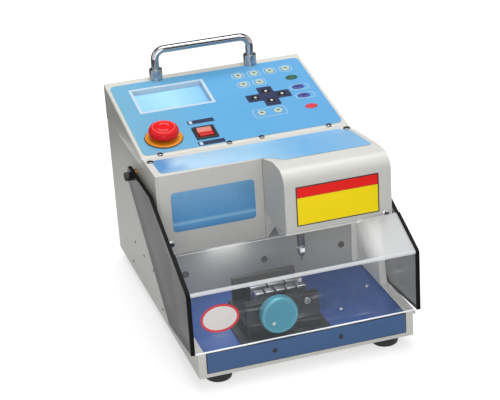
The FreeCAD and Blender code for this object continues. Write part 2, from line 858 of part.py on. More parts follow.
# Carry handle: a bent bar in two collars that are cut to the console's slope
handle_y = console_rear - handle_setback
handle_top = console_peak + handle_rise
handle_foot = console_peak + handle_foot_rise
ferrule_top = console_peak + ferrule_rise
ferrule_bottom = console_peak - ferrule_radius
bar_end = handle_half - handle_bend
bend_z = handle_top - handle_bend
right_turn = FreeCAD.Rotation(FreeCAD.Vector(1, 0, 0), 90)
left_turn = FreeCAD.Rotation(FreeCAD.Vector(1, 0, 0), -90) * FreeCAD.Rotation(
    FreeCAD.Vector(0, 0, 1), 180
)
handle_bar = join(
    rod("z", -handle_half, handle_y, handle_foot, handle_radius, bend_z - handle_foot),
    bend(-bar_end, handle_y, bend_z, handle_bend, handle_radius, left_turn),
    rod("x", -bar_end, handle_y, handle_top, handle_radius, bar_end * 2),
    bend(bar_end, handle_y, bend_z, handle_bend, handle_radius, right_turn),
    rod("z", handle_half, handle_y, handle_foot, handle_radius, bend_z - handle_foot),
)
node("carry_handle", handle_bar)
overlay_block = group(
    span((-overlay_half, overlay_front, -steel), (overlay_half, overlay_rear, overlay_film))
)
overlay_block.setExpression("Placement", panel_frame)


def ferrule(side):
    collar_height = ferrule_top - ferrule_bottom
    collar = rod("z", handle_half * side, handle_y, ferrule_bottom, ferrule_radius, collar_height)
    bore = rod(
        "z", handle_half * side, handle_y, handle_foot - gap, handle_radius + running, collar_height * 2
    )
    return cut(cut(cut(collar, bore), console_block), overlay_block)


node("handle_ferrules", mirrored_x(ferrule))

# Shield: two smoked side plates, a bent clear front and the fixed pivots that it swings on
lean_rise = sine(shield_lean) / cosine(shield_lean)
sheet_back = front - shield_proud + shield_sheet


def shield_line(y):
    # Height of the side plates' upper edge.
    return shield_bend + (as_size(y) - sheet_back) * lean_rise


crest = pivot_height + shield_crest
plate_shape = [
    (sheet_back, shield_bottom),
    (sheet_back, shield_bend),
    (sheet_back + (crest - shield_bend) / lean_rise, crest),
    (pivot_y + pivot_boss / 2, crest),
    (pivot_y + pivot_boss, pivot_height - pivot_boss / 2),
    (front + shield_heel_depth, shield_heel),
]
for side, start in (("left", -plate_outer), ("right", plate_inner)):
    plate = outline(plate_shape, start, shield_plate, [(1, shield_fold - shield_sheet)])
    plate_hole = rod(
        "x", start - gap, pivot_y, pivot_height, pivot_radius + running, shield_plate + gap * 2
    )
    node(f"shield_{side}_plate", cut(plate, plate_hole))

sheet_top = head_face - shield_head_gap
sheet_shape = [
    (front - shield_proud, shield_bottom),
    (sheet_back, shield_bottom),
    (sheet_back, shield_bend),
    (sheet_top, shield_line(sheet_top)),
    (sheet_top, shield_line(sheet_top) + shield_sheet),
    (front - shield_proud, shield_line(front - shield_proud) + shield_sheet),
]
sheet_bend = [(2, shield_fold - shield_sheet), (5, shield_fold)]
node("shield_front_sheet", outline(sheet_shape, -plate_outer, plate_outer * 2, sheet_bend))


def pivot(side):
    # Washer, pin and knob on the machine's side, in that order outwards.
    washer_end = plate_inner - gap
    knob_start = plate_outer + gap
    pin_length = knob_start + pivot_knob_height - inner
    starts = {
        -1: (-knob_start - pivot_knob_height, -washer_end, -knob_start - pivot_knob_height),
        1: (inner, half, knob_start),
    }
    pin_x, washer_x, knob_x_start = starts[side]
    return join(
        rod("x", pin_x, pivot_y, pivot_height, pivot_radius, pin_length),
        rod("x", washer_x, pivot_y, pivot_height, pivot_washer, washer_end - half),
        rod("x", knob_x_start, pivot_y, pivot_height, pivot_knob, pivot_knob_height),
    )


node("shield_pivots", mirrored_x(pivot))

# Vise table under the tray floor: rails, a saddle that moves in depth and a carriage that moves across
rail_top = pan_floor + rail_height
saddle_low = rail_top + gap
saddle_top = saddle_low + saddle_plate
way_top = saddle_top + way_height
carriage_low = way_top + gap
carriage_top = carriage_low + carriage_plate
screw_x_z = saddle_top + screw_x_rise


def table_rail(side):
    return box(
        rail_spread * side - rail_width / 2,
        front + rail_start,
        pan_floor,
        rail_width,
        rail_length,
        rail_height,
    )


bearing_top = screw_y_z + screw_y_radius + gap * 4
bearing_block = span(
    (screw_y_x - nut_y_half, front + bearing_y_start, pan_floor),
    (screw_y_x + nut_y_half, front + bearing_y_start + bearing_length, bearing_top),
)
bearing_bore = rod("y", screw_y_x, front, screw_y_z, screw_y_radius + running, bearing_y_start * 4)
node("y_rails", group(table_rail(-1), table_rail(1), cut(bearing_block, bearing_bore)))

saddle = span(
    (saddle_left, vise_y - saddle_half, saddle_low), (saddle_right, vise_y + saddle_half, saddle_top)
)
way_inner = carriage_half_depth - way_width
ways = []
for way_y in (vise_y - carriage_half_depth, vise_y + way_inner):
    ways.append(span((way_left, way_y, saddle_top), (way_right, way_y + way_width, way_top)))
nut_y = box(
    screw_y_x - nut_y_half,
    vise_y - nut_y_half,
    saddle_top,
    nut_y_half * 2,
    nut_y_half * 2,
    nut_y_height,
)
bearing_x = span(
    (way_right + gap, vise_y - nut_x_half, saddle_top),
    (way_right + gap + bearing_length, vise_y + nut_x_half, way_top),
)
nut_y_bore = rod(
    "y", screw_y_x, vise_y - saddle_half, screw_y_z, screw_y_radius + running, saddle_half * 2
)
bearing_x_bore = rod(
    "x", way_right - gap, vise_y, screw_x_z, screw_x_radius + running, bearing_length * 2
)
node("y_saddle", cut(join(saddle, *ways, nut_y, bearing_x), nut_y_bore, bearing_x_bore))
motor_x_low = vise_y - motor_x_size / 2
node("x_motor", box(saddle_left, motor_x_low, saddle_top, motor_x_size, motor_x_size, motor_x_height))
screw_x_start = saddle_left + motor_x_size + gap
screw_x_length = way_right + bearing_length - screw_x_start
node(
    "x_screw",
    rod("x", screw_x_start, vise_y, screw_x_z, screw_x_radius, screw_x_length),
)
screw_y_start = front + bearing_y_start
node(
    "y_screw",
    rod("y", screw_y_x, screw_y_start, screw_y_z, screw_y_radius, column_back - gap - screw_y_start),
)

carriage = span(
    (vise_x - carriage_half, vise_y - carriage_half_depth, carriage_low),
    (vise_x + carriage_half, vise_y + carriage_half_depth, carriage_top),
)
neck_block = span(
    (vise_x - neck / 2, vise_y - neck / 2, carriage_low),
    (vise_x + neck / 2, vise_y + neck / 2, skirt_bottom),
)
skirt_x = slot_x + travel_x + skirt_lap
skirt = span(
    (vise_x - skirt_x, slot_front - travel_y - skirt_lap, skirt_bottom),
    (vise_x + skirt_x, slot_rear + skirt_lap, skirt_top),
)
nut_x = span(
    (vise_x - nut_x_length / 2, vise_y - nut_x_half, saddle_top + gap),
    (vise_x + nut_x_length / 2, vise_y + nut_x_half, carriage_low),
)
nut_x_bore = rod(
    "x", vise_x - nut_x_length, vise_y, screw_x_z, screw_x_radius + running, nut_x_length * 2
)
node("x_carriage", join(carriage, neck_block, skirt, cut(nut_x, nut_x_bore)))

# Key vise: bed, screw block, fixed jaw and back plate, with a sliding jaw and a clamp knob
bed_top = skirt_top + vise_bed
jaw_top = skirt_top + jaw_height
fixed_jaw_front = front + jaw_gap_front + jaw_opening
vise_back = front + vise_rear
vise_bed_block = span((vise_left, front + vise_front, skirt_top), (vise_right, vise_back, bed_top))
screw_block_end = front + vise_front + nut_block_depth
clamp_z = skirt_top + knob_rise
screw_block = span(
    (vise_left, front + vise_front, bed_top), (vise_right, screw_block_end, skirt_top + front_block_top)
)
fixed_jaw = span(
    (jaw_left, fixed_jaw_front, bed_top), (jaw_right, fixed_jaw_front + jaw_back_depth, jaw_top)
)
back = span(
    (vise_left + back_plate_inset, vise_back - back_plate, bed_top),
    (vise_right - back_plate_inset, vise_back, skirt_top + back_plate_top),
)
clamp_bore_length = vise_front + nut_block_depth
clamp_bore = rod(
    "y", knob_x, front + knob_front, clamp_z, clamp_screw_radius + running, clamp_bore_length
)
node("vise_body", cut(join(vise_bed_block, screw_block, fixed_jaw, back), clamp_bore))
node(
    "vise_jaw",
    span((jaw_left, front + jaw_front, bed_top + gap), (jaw_right, front + jaw_gap_front, jaw_top)),
)

knob_back = front + knob_front + knob_length
knob_face = puck(knob_radius, knob_length, knob_round)
knob_face.Placement = FreeCAD.Placement(FreeCAD.Vector(), FreeCAD.Rotation(FreeCAD.Vector(1, 0, 0), 90))
place(knob_face, knob_x, knob_back, clamp_z)
hub_length = vise_front - knob_front - knob_length - gap
knob_hub = rod("y", knob_x, knob_back, clamp_z, hub_radius, hub_length)
clamp_screw = rod(
    "y", knob_x, knob_back, clamp_z, clamp_screw_radius, jaw_front - gap - knob_front - knob_length
)
node("vise_knob", join(knob_face, knob_hub, clamp_screw))

# Vertical slide inside the spindle head
rail_z_face = column_face - rail_z_height
rail_z_bottom = head_bottom + rail_z_end
rail_z_top = head_top - rail_z_end
arm_top = head_top - arm_drop
arm_bottom = arm_top - arm_height
slide_bottom = arm_bottom - slide_skirt
motor_bottom = arm_bottom - motor_below
motor_top = arm_top + motor_above
bracket_bottom = arm_top + bracket_clear
screw_z_bottom = head_bottom + screw_z_clear
nose_end = head_bottom - nose_reach
collet_end = nose_end - collet_length
cutter_end = collet_end - cutter_length
slide_rails = []
for rail_place in (rail_z_left, rail_z_right):
    rail_x = rail_place - rail_z_width / 2
    slide_rails.append(
        span((rail_x, rail_z_face, rail_z_bottom), (rail_x + rail_z_width, column_face, rail_z_top))
    )
screw_z_y = front + screw_z_depth
motor_z_half = motor_z_size / 2
bracket_top = bracket_bottom + bracket_steel
bracket = span(
    (screw_z_x - motor_z_half, screw_z_y - motor_z_half, bracket_bottom),
    (screw_z_x + motor_z_half, column_face, bracket_top),
)
bracket_hole = rod(
    "z", screw_z_x, screw_z_y, bracket_bottom - gap, screw_z_radius + running, bracket_steel * 2
)
node("z_rails", group(*slide_rails, cut(bracket, bracket_hole)))

slide_back = rail_z_face - gap
slide_front = slide_back - slide_plate
slide = span((slide_left, slide_front, slide_bottom), (slide_right, slide_back, arm_top))
arm = span((arm_left, front + arm_front, arm_bottom), (arm_right, slide_back, arm_top))
nut_z = span(
    (screw_z_x - nut_z_half, screw_z_y - nut_z_half, arm_bottom),
    (screw_z_x + nut_z_half, slide_back, arm_top),
)
motor_bore = rod(
    "z", spindle_x, spindle_y, arm_bottom - gap, motor_radius + running, motor_top - arm_bottom
)
nut_z_bore = rod(
    "z", screw_z_x, screw_z_y, arm_bottom - gap, screw_z_radius + running, motor_top - arm_bottom
)
node("z_carriage", cut(join(slide, arm, nut_z), motor_bore, nut_z_bore))
node(
    "spindle_motor",
    rod("z", spindle_x, spindle_y, motor_bottom, motor_radius, motor_top - motor_bottom),
)
node(
    "z_screw",
    rod("z", screw_z_x, screw_z_y, screw_z_bottom, screw_z_radius, bracket_top - screw_z_bottom),
)

node(
    "spindle",
    join(
        rod("z", spindle_x, spindle_y, nose_end, nose_radius, motor_bottom - gap - nose_end),
        cone("z", spindle_x, spindle_y, collet_end, collet_tip, nose_radius, nose_end - collet_end),
        rod("z", spindle_x, spindle_y, cutter_end, cutter_radius, collet_end - cutter_end),
    ),
)

motor_y_half = motor_size / 2
motor_y = box(
    screw_y_x - motor_y_half,
    column_back,
    screw_y_z - motor_y_half,
    motor_size,
    motor_length,
    motor_size,
)
motor_z = box(
    screw_z_x - motor_z_half,
    screw_z_y - motor_z_half,
    bracket_top,
    motor_z_size,
    motor_z_size,
    motor_z_height,
)
node("axis_motors", group(motor_y, motor_z))

# Mains inlet in the rear panel
inlet_half = inlet_width / 2
inlet_flange = box(
    inlet_x - inlet_flange_width / 2,
    rear,
    inlet_height - inlet_flange_height / 2,
    inlet_flange_width,
    inlet_proud,
    inlet_flange_height,
)
inlet_body = box(
    inlet_x - inlet_half,
    rear - inlet_deep,
    inlet_height - inlet_tall / 2,
    inlet_width,
    inlet_deep,
    inlet_tall,
)
socket_floor = rear + inlet_proud - inlet_socket
recess_half = inlet_half - inlet_wall
recess_rise = inlet_tall / 2 - inlet_wall
inlet_recess = span(
    (inlet_x - recess_half, socket_floor, inlet_height - recess_rise),
    (inlet_x + recess_half, rear + inlet_proud + gap, inlet_height + recess_rise),
)
inlet_pins = []
for number in (-1, 0, 1):
    pin_x = inlet_x + inlet_pin_pitch * number - inlet_pin_width / 2
    pin_z = inlet_height - inlet_pin_tall / 2
    inlet_pins.append(box(pin_x, socket_floor, pin_z, inlet_pin_width, inlet_pin, inlet_pin_tall))
node("power_inlet", join(cut(join(inlet_flange, inlet_body), inlet_recess), *inlet_pins))

# Electronics: the keypad board under the keys, the control board and the power supply
keypad_top = key_low - key_travel - gap
keypad_low_x = key_left - board_margin
keypad_high_x = side_key_x + board_margin
keypad_low_row = key_low_row - board_margin
keypad_high_row = key_top_row + board_margin
keypad_bottom = keypad_top - board_steel
keypad_corner = (keypad_low_x, keypad_low_row, keypad_bottom)
keypad = [span(keypad_corner, (keypad_high_x, keypad_high_row, keypad_top))]
for post_x in (keypad_low_x + board_post, keypad_high_x - board_post):
    for post_row in (keypad_low_row + board_post, keypad_high_row - board_post):
        keypad.append(rod("z", post_x, post_row, keypad_bottom, board_post, -steel - keypad_bottom))
keypad_board = join(*keypad)
keypad_board.setExpression("Placement", panel_frame)
supply_x = inner - supply_gap - supply_width
control_board_x = supply_x - control_board_gap - control_board_width
board_y = front + control_board_depth
board_low = pan_floor + control_board_rise
board = [
    box(control_board_x, board_y, board_low, control_board_width, control_board_length, board_steel),
]
for post_x in (control_board_x + board_post, control_board_x + control_board_width - board_post):
    for post_y in (board_y + board_post, board_y + control_board_length - board_post):
        board.append(rod("z", post_x, post_y, pan_floor, board_post, control_board_rise))
supply = box(supply_x, board_y, pan_floor, supply_width, control_board_length, supply_height)
node("electronics", group(keypad_board, join(*board), supply))

# Fasteners: button heads on the covers and socket bolts on the column plate
heads = []
for bolt in (-1, 0, 1):
    bolt_x = column_bolt_pitch * bolt - head_left
    bolt_y = column_face - screw_head_height
    heads.append(rod("y", bolt_x, bolt_y, column_bolt_height, column_bolt_radius, screw_head_height))
for side in (-1, 1):
    blue_face = front - blue_steel - screw_head_height
    blue_middle = blue_bottom + blue_height / 2
    heads.append(
        rod("y", front_screw_x * side, blue_face, blue_middle, screw_head_radius, screw_head_height)
    )
edge_screws = []
for side in (-1, 1):
    for screw_x in (panel_screw_inner * side, panel_screw_outer * side):
        edge_screws.append(rod("z", screw_x, panel_screw_row, 0, panel_screw_radius, screw_head_height))
    roof_x = (half - roof_screw_side) * side
    roof_y = console_face - roof_screw_side * 2
    heads.append(rod("z", roof_x, roof_y, head_top, screw_head_radius, screw_head_height))
panel_screws = group(*edge_screws)
panel_screws.setExpression("Placement", panel_frame)
heads.append(panel_screws)
for side in (-1, 1):
    for level in (rim + screw_head_radius * 3, deck - screw_head_radius * 4):
        rear_x = (inner - screw_head_radius * 3) * side
        heads.append(rod("y", rear_x, rear, level, screw_head_radius, screw_head_height))
stud_x = screw_head_radius * 2
studs = [
    (stud_x - inner, wall_face - screw_head_height, wall_bottom + stud_x * 3),
    (head_right - stud_x, head_face - screw_head_height, head_bottom + stud_x),
]
for stud in studs:
    heads.append(rod("y", *stud, screw_head_radius, screw_head_height))
node("cover_screws", group(*heads))

doc.recompute()
for item in doc.Objects:
    if "Invalid" in item.State or "Error" in item.State:
        raise RuntimeError(f"{item.Label} failed: {item.State}")
for label, item in nodes.items():
    if item.Shape.isNull() or not item.Shape.isValid() or not item.Shape.Solids:
        raise RuntimeError(f"{label} has no valid solid")

os.makedirs("parts", exist_ok=True)
for label, item in nodes.items():
    item.Shape.exportStep(f"parts/{label}.step")
print(f"{len(nodes)} nodes")
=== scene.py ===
import json
import math

import bmesh
import bpy
from mathutils import Matrix, Vector

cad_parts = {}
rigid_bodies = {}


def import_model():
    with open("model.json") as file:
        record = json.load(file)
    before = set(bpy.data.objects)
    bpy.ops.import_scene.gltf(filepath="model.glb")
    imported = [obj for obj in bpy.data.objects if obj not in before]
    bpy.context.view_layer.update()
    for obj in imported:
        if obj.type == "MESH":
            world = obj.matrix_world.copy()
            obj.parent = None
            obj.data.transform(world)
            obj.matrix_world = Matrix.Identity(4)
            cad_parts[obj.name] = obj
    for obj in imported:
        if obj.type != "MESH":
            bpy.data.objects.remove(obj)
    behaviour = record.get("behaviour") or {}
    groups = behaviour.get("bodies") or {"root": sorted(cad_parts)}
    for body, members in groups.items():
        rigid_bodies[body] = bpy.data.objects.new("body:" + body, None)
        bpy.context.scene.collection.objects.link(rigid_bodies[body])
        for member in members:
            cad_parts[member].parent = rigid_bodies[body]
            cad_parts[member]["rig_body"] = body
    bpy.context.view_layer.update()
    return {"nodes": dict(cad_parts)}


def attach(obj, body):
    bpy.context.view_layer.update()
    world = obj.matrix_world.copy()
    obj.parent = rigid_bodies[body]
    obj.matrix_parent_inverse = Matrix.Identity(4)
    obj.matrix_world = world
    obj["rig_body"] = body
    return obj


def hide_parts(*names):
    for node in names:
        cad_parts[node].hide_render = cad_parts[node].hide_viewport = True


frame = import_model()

nodes = frame["nodes"]
mm = 0.001
print("frame:", len(nodes), "solids")


# small tools

def seen(colour):  # 0..255 as seen on screen -> linear rgba
    linear = []
    for part in colour:
        value = part / 255
        linear.append(value / 12.92 if value <= 0.04045 else ((value + 0.055) / 1.055) ** 2.4)
    return (*linear, 1.0)


def addObject(name, mesh):
    piece = bpy.data.objects.new(name, mesh)
    bpy.context.scene.collection.objects.link(piece)
    return piece


def meshFrom(name, work):
    bmesh.ops.recalc_face_normals(work, faces=work.faces)
    mesh = bpy.data.meshes.new(name)
    work.to_mesh(mesh)
    work.free()
    return mesh


def turned(profile, place, steps=48, squeeze=(1, 1), waves=None):
    # (radius, height) pairs in mm, turned about Z; waves = (count, depth, low, high) flutes the rim
    count, depth, waveLow, waveHigh = waves or (0, 0, 0, -1)
    work = bmesh.new()
    rings = []
    for radius, height in profile:
        if radius == 0:
            rings.append([work.verts.new((0, 0, height * mm))])
            continue
        ring = []
        for step in range(steps):
            angle = 2 * math.pi * step / steps
            reach = radius
            if waveLow <= height <= waveHigh:
                reach -= depth * (0.5 + 0.5 * math.cos(angle * count))
            point = (reach * math.cos(angle) * squeeze[0], reach * math.sin(angle) * squeeze[1], height)
            ring.append(work.verts.new([value * mm for value in point]))
        rings.append(ring)
    pairs = list(zip(rings, rings[1:]))
    if len(rings[0]) > 1 and len(rings[-1]) > 1:
        pairs.append((rings[-1], rings[0]))  # a ring closes on itself round its bore
    for low, high in pairs:
        for step in range(steps):
            after = (step + 1) % steps
            corners = [low[step % len(low)], low[after % len(low)]]
            corners += [high[after % len(high)], high[step % len(high)]]
            unique = list(dict.fromkeys(corners))
            if len(unique) > 2:
                work.faces.new(unique)
    work.transform(place)
    return work


def roundRect(x, y, width, height, radius, steps=6):
    points = []
    for turn, (sideX, sideY) in enumerate(((1, 1), (-1, 1), (-1, -1), (1, -1))):
        middleX = x + sideX * (width / 2 - radius)
        middleY = y + sideY * (height / 2 - radius)
        for step in range(steps + 1):
            angle = math.pi / 2 * (turn + step / steps)
            points.append((middleX + radius * math.cos(angle), middleY + radius * math.sin(angle)))
    return points


def ringPoints(x, y, wide, tall=None, steps=40):
    tall = tall or wide
    angles = [2 * math.pi * step / steps for step in range(steps)]
    return [(x + wide * math.cos(angle), y + tall * math.sin(angle)) for angle in angles]


def crossPoints(wide, tall, arm, armTall):
    # plus sign about the origin, from the half sizes of the whole and of its arms
    return [
        (wide, -armTall), (wide, armTall), (arm, armTall), (arm, tall), (-arm, tall), (-arm, armTall),
        (-wide, armTall), (-wide, -armTall), (-arm, -armTall), (-arm, -tall), (arm, -tall), (arm, -armTall),
    ]


def roundCorners(points, radius, steps=6):
    # fillets the corners of a polygon, mm; radius is one number or one for each corner
    smooth = []
    radii = radius if isinstance(radius, list) else [radius] * len(points)
    for number, corner in enumerate(points):
        here = Vector(corner)
        back = Vector(points[number - 1]) - here
        ahead = Vector(points[(number + 1) % len(points)]) - here
        if radii[number] == 0:
            smooth.append(tuple(here))
            continue
        reach = min(radii[number], back.length * 0.45, ahead.length * 0.45)
        start = here + back.normalized() * reach
        end = here + ahead.normalized() * reach
        for step in range(steps + 1):
            share = step / steps
            spot = (1 - share) ** 2 * start + 2 * share * (1 - share) * here + share ** 2 * end
            smooth.append(tuple(spot))
    return smooth


def plate(outlines, low, high, place, edge=0.15):
    # flat sheet from closed outlines (first the rim, then holes), mm, with a small round edge
    curve = bpy.data.curves.new("plateOutline", "CURVE")
    curve.dimensions = "2D"
    curve.fill_mode = "BOTH"
    for points in outlines:
        spline = curve.splines.new("POLY")
        spline.points.add(len(points) - 1)
        for target, (x, y) in zip(spline.points, points):
            target.co = (x * mm, y * mm, 0, 1)
        spline.use_cyclic_u = True
    curve.extrude = max((high - low) / 2 - edge, 0.005) * mm
    curve.bevel_depth = edge * mm
    curve.bevel_resolution = 2
    curve.offset = -edge * mm
    holder = addObject("plateOutline", curve)
    bpy.context.view_layer.update()
    mesh = bpy.data.meshes.new_from_object(holder.evaluated_get(bpy.context.evaluated_depsgraph_get()))
    bpy.data.objects.remove(holder)
    bpy.data.curves.remove(curve)
    work = bmesh.new()
    work.from_mesh(mesh)
    bpy.data.meshes.remove(mesh)
    bmesh.ops.remove_doubles(work, verts=work.verts, dist=1e-7)
    work.transform(place @ Matrix.Translation((0, 0, (low + high) / 2 * mm)))
    return work


def roundEdges(work, edges, reach, segments, clamp=False):
    bmesh.ops.bevel(
        work, geom=edges, offset=reach * mm, segments=segments, profile=0.5, affect="EDGES",
        clamp_overlap=clamp,
    )


def block(low, high, edge, segments=3):
    # box between two corners in mm with rounded edges
    work = bmesh.new()
    bmesh.ops.create_cube(work, size=1)
    span = [(end - start) * mm for start, end in zip(low, high)]
    middle = [(start + end) / 2 * mm for start, end in zip(low, high)]
    bmesh.ops.scale(work, vec=span, verts=work.verts)
    bmesh.ops.translate(work, vec=middle, verts=work.verts)
    roundEdges(work, list(work.edges), edge, segments)
    return work


def joined(works):
    whole = bmesh.new()
    for work in works:
        mesh = bpy.data.meshes.new("joinStep")
        work.to_mesh(mesh)
        work.free()
        whole.from_mesh(mesh)
        bpy.data.meshes.remove(mesh)
    return whole


def settle(name, work, body, materials, sharp=40):
    # makes the piece, gives it its finish and lets it ride on its body
    piece = addObject(name, meshFrom(name, work))
    for material in materials if isinstance(materials, list) else [materials]:
        piece.data.materials.append(material)
    piece.data.shade_smooth()
    piece.data.set_sharp_from_angle(angle=math.radians(sharp))
    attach(piece, body)
    return piece


softEdge = {"weld": 2e-6, "flat": 0.4, "sharp": 35}  # metres, then two angles in degrees


def lineMiddle(line):
    return (line.verts[0].co + line.verts[1].co) / 2 / mm


def softened(nodeName, edge, materials, pick=None, segments=3, paint=None, shape=None):
    # copy of a CAD solid with its sharp edges rounded; the copy stands in for the solid
    work = bmesh.new()
    work.from_mesh(nodes[nodeName].data)
    bmesh.ops.remove_doubles(work, verts=work.verts, dist=softEdge["weld"])
    flat = math.radians(softEdge["flat"])
    bmesh.ops.dissolve_limit(work, angle_limit=flat, verts=work.verts, edges=work.edges)
    if shape:
        shape(work)
    sharp = []
    for line in work.edges:
        if len(line.link_faces) != 2 or line.calc_face_angle(0) < math.radians(softEdge["sharp"]):
            continue
        if pick is None or pick(line):
            sharp.append(line)
    if sharp:
        roundEdges(work, sharp, edge, segments, clamp=True)
    if paint:
        for face in work.faces:
            face.material_index = paint(face)
    piece = settle(nodeName + "Soft", work, nodes[nodeName]["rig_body"], materials)
    weighted = piece.modifiers.new("evenNormals", "WEIGHTED_NORMAL")
    weighted.keep_sharp = True
    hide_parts(nodeName)


def dressNode(name, material):  # the solid itself shows, with this finish
    nodes[name].data.materials.clear()
    nodes[name].data.materials.append(material)


panel = {"front": 7.0, "height": 224.0, "slope": 10.6}  # control panel's front edge, mm and degrees
panelTurn = Matrix.Rotation(math.radians(panel["slope"]), 4, "X")
panelPlace = Matrix.Translation((0, panel["front"] * mm, panel["height"] * mm)) @ panelTurn


def onPanel(x, row, rise=0):
    return panelPlace @ Matrix.Translation((x * mm, row * mm, rise * mm))


def onFront(y):  # x stays, y up, facing the front
    return Matrix.Translation((0, y * mm, 0)) @ Matrix.Rotation(math.pi / 2, 4, "X")


def facing(direction, x, y, z):  # Z of the piece along direction
    turn = Vector((0, 0, 1)).rotation_difference(Vector(direction)).to_matrix().to_4x4()
    return Matrix.Translation((x * mm, y * mm, z * mm)) @ turn


# surface effects that several finishes share

def newGroup(name, inputs, outputs):
    tree = bpy.data.node_groups.new(name, "ShaderNodeTree")
    for label, kind, value in inputs:
        socket = tree.interface.new_socket(name=label, in_out="INPUT", socket_type="NodeSocket" + kind)
        socket.default_value = value
    for label, kind in outputs:
        tree.interface.new_socket(name=label, in_out="OUTPUT", socket_type="NodeSocket" + kind)
    return tree, tree.nodes.new("NodeGroupInput"), tree.nodes.new("NodeGroupOutput")


def feed(tree, value, socket):  # sets a constant on the socket, or links another socket to it
    if isinstance(value, (int, float, tuple)):
        socket.default_value = value
    else:
        tree.links.new(value, socket)


def objectSpace(tree, stretch=None):
    space = tree.nodes.new("ShaderNodeTexCoord").outputs["Object"]
    if stretch is None:
        return space
    spread = tree.nodes.new("ShaderNodeMapping")
    tree.links.new(space, spread.inputs["Vector"])
    feed(tree, stretch, spread.inputs["Scale"])
    return spread.outputs["Vector"]


def alongAxis(tree, axis):
    split = tree.nodes.new("ShaderNodeSeparateXYZ")
    tree.links.new(objectSpace(tree), split.inputs[0])
    return split.outputs[axis]


def noise(tree, scale, detail, stretch=None):
    grain = tree.nodes.new("ShaderNodeTexNoise")
    grain.inputs["Detail"].default_value = detail
    feed(tree, scale, grain.inputs["Scale"])
    tree.links.new(objectSpace(tree, stretch), grain.inputs["Vector"])
    return grain.outputs["Fac"]


def sums(tree, kind, *values):
    step = tree.nodes.new("ShaderNodeMath")
    step.operation = kind
    for socket, value in zip(step.inputs, values):
        feed(tree, value, socket)
    return step.outputs[0]


def swing(tree, value, reach, base):  # base, moved down and up by half of reach as value runs from 0 to 1
    return sums(tree, "MULTIPLY_ADD", sums(tree, "SUBTRACT", value, 0.5), reach, base)


def mixed(tree, amount, first, second, kind="MIX"):
    blend = tree.nodes.new("ShaderNodeMix")
    blend.data_type = "RGBA"
    blend.blend_type = kind
    for socket, value in ((blend.inputs[0], amount), (blend.inputs[6], first), (blend.inputs[7], second)):
        feed(tree, value, socket)
    return blend.outputs[2]


def ramped(tree, value, low, high, toLow=0.0, toHigh=1.0):
    step = tree.nodes.new("ShaderNodeMapRange")
    tree.links.new(value, step.inputs["Value"])
    for label, number in (("From Min", low), ("From Max", high), ("To Min", toLow), ("To Max", toHigh)):
        step.inputs[label].default_value = number
    return step.outputs["Result"]


def makeCoating():  # paint, film and moulded plastic: fine grain, slow changes of tone and shine
    tree, given, out = newGroup(
        "coating",
        [("Color", "Color", (1, 1, 1, 1)), ("Grain", "Float", 900), ("Tone", "Float", 0.06),
         ("Shine", "Float", 0.4)],
        [("Color", "Color"), ("Roughness", "Float"), ("Height", "Float")],
    )
    slow = noise(tree, scale=7, detail=3)  # patches of about 140 mm
    fine = noise(tree, given.outputs["Grain"], detail=2)  # about 1 mm at the usual grain
    shade = sums(tree, "MULTIPLY_ADD", swing(tree, slow, given.outputs["Tone"], base=0.0), 2.0, 1.0)
    grey = tree.nodes.new("ShaderNodeCombineColor")
    for socket in grey.inputs:
        tree.links.new(shade, socket)
    toned = mixed(tree, 1.0, given.outputs["Color"], grey.outputs[0], "MULTIPLY")
    tree.links.new(toned, out.inputs["Color"])
    wander = swing(tree, fine, reach=0.08, base=given.outputs["Shine"])
    tree.links.new(swing(tree, slow, reach=0.14, base=wander), out.inputs["Roughness"])
    tree.links.new(fine, out.inputs["Height"])
    return tree


def makeBrushing():  # drawn lines on metal, along the axis with the small scale
    tree, given, out = newGroup(
        "brushing",
        [("Color", "Color", (1, 1, 1, 1)), ("Lines", "Vector", (1, 1, 1)), ("Tone", "Float", 0.2),
         ("Shine", "Float", 0.3)],
        [("Color", "Color"), ("Roughness", "Float"), ("Height", "Float")],
    )
    lines = noise(tree, scale=1.0, detail=4, stretch=given.outputs["Lines"])
    slow = noise(tree, scale=9, detail=2)  # patches of about 110 mm
    mask = sums(tree, "MULTIPLY", lines, given.outputs["Tone"])
    darker = mixed(tree, 1.0, given.outputs["Color"], (0.55, 0.55, 0.56, 1), "MULTIPLY")
    tree.links.new(mixed(tree, mask, given.outputs["Color"], darker), out.inputs["Color"])
    rough = swing(tree, lines, reach=0.25, base=given.outputs["Shine"])
    tree.links.new(sums(tree, "MULTIPLY_ADD", slow, 0.08, rough), out.inputs["Roughness"])
    tree.links.new(lines, out.inputs["Height"])
    return tree


def makeDusting():  # a little dust in patches on upward faces
    tree, given, out = newGroup(
        "dusting", [("Color", "Color", (1, 1, 1, 1)), ("Dust", "Float", 0.15)], [("Color", "Color")]
    )
    split = tree.nodes.new("ShaderNodeSeparateXYZ")
    tree.links.new(tree.nodes.new("ShaderNodeNewGeometry").outputs["Normal"], split.inputs[0])
    lying = ramped(tree, split.outputs["Z"], low=0.75, high=1.0)
    patches = noise(tree, scale=45, detail=5)  # about 20 mm across
    patches = ramped(tree, patches, low=0.35, high=0.8)
    dust = sums(tree, "MULTIPLY", sums(tree, "MULTIPLY", lying, patches), given.outputs["Dust"])
    tree.links.new(mixed(tree, dust, given.outputs["Color"], (0.62, 0.6, 0.56, 1)), out.inputs["Color"])
    return tree


coating = makeCoating()
brushing = makeBrushing()
dusting = makeDusting()


def newMaterial(name):
    material = bpy.data.materials.new(name)
    material.use_nodes = True
    return material, material.node_tree, material.node_tree.nodes["Principled BSDF"]


def useGroup(tree, group, **values):
    spot = tree.nodes.new("ShaderNodeGroup")
    spot.node_tree = group
    for label, value in values.items():
        spot.inputs[label].default_value = value
    return spot


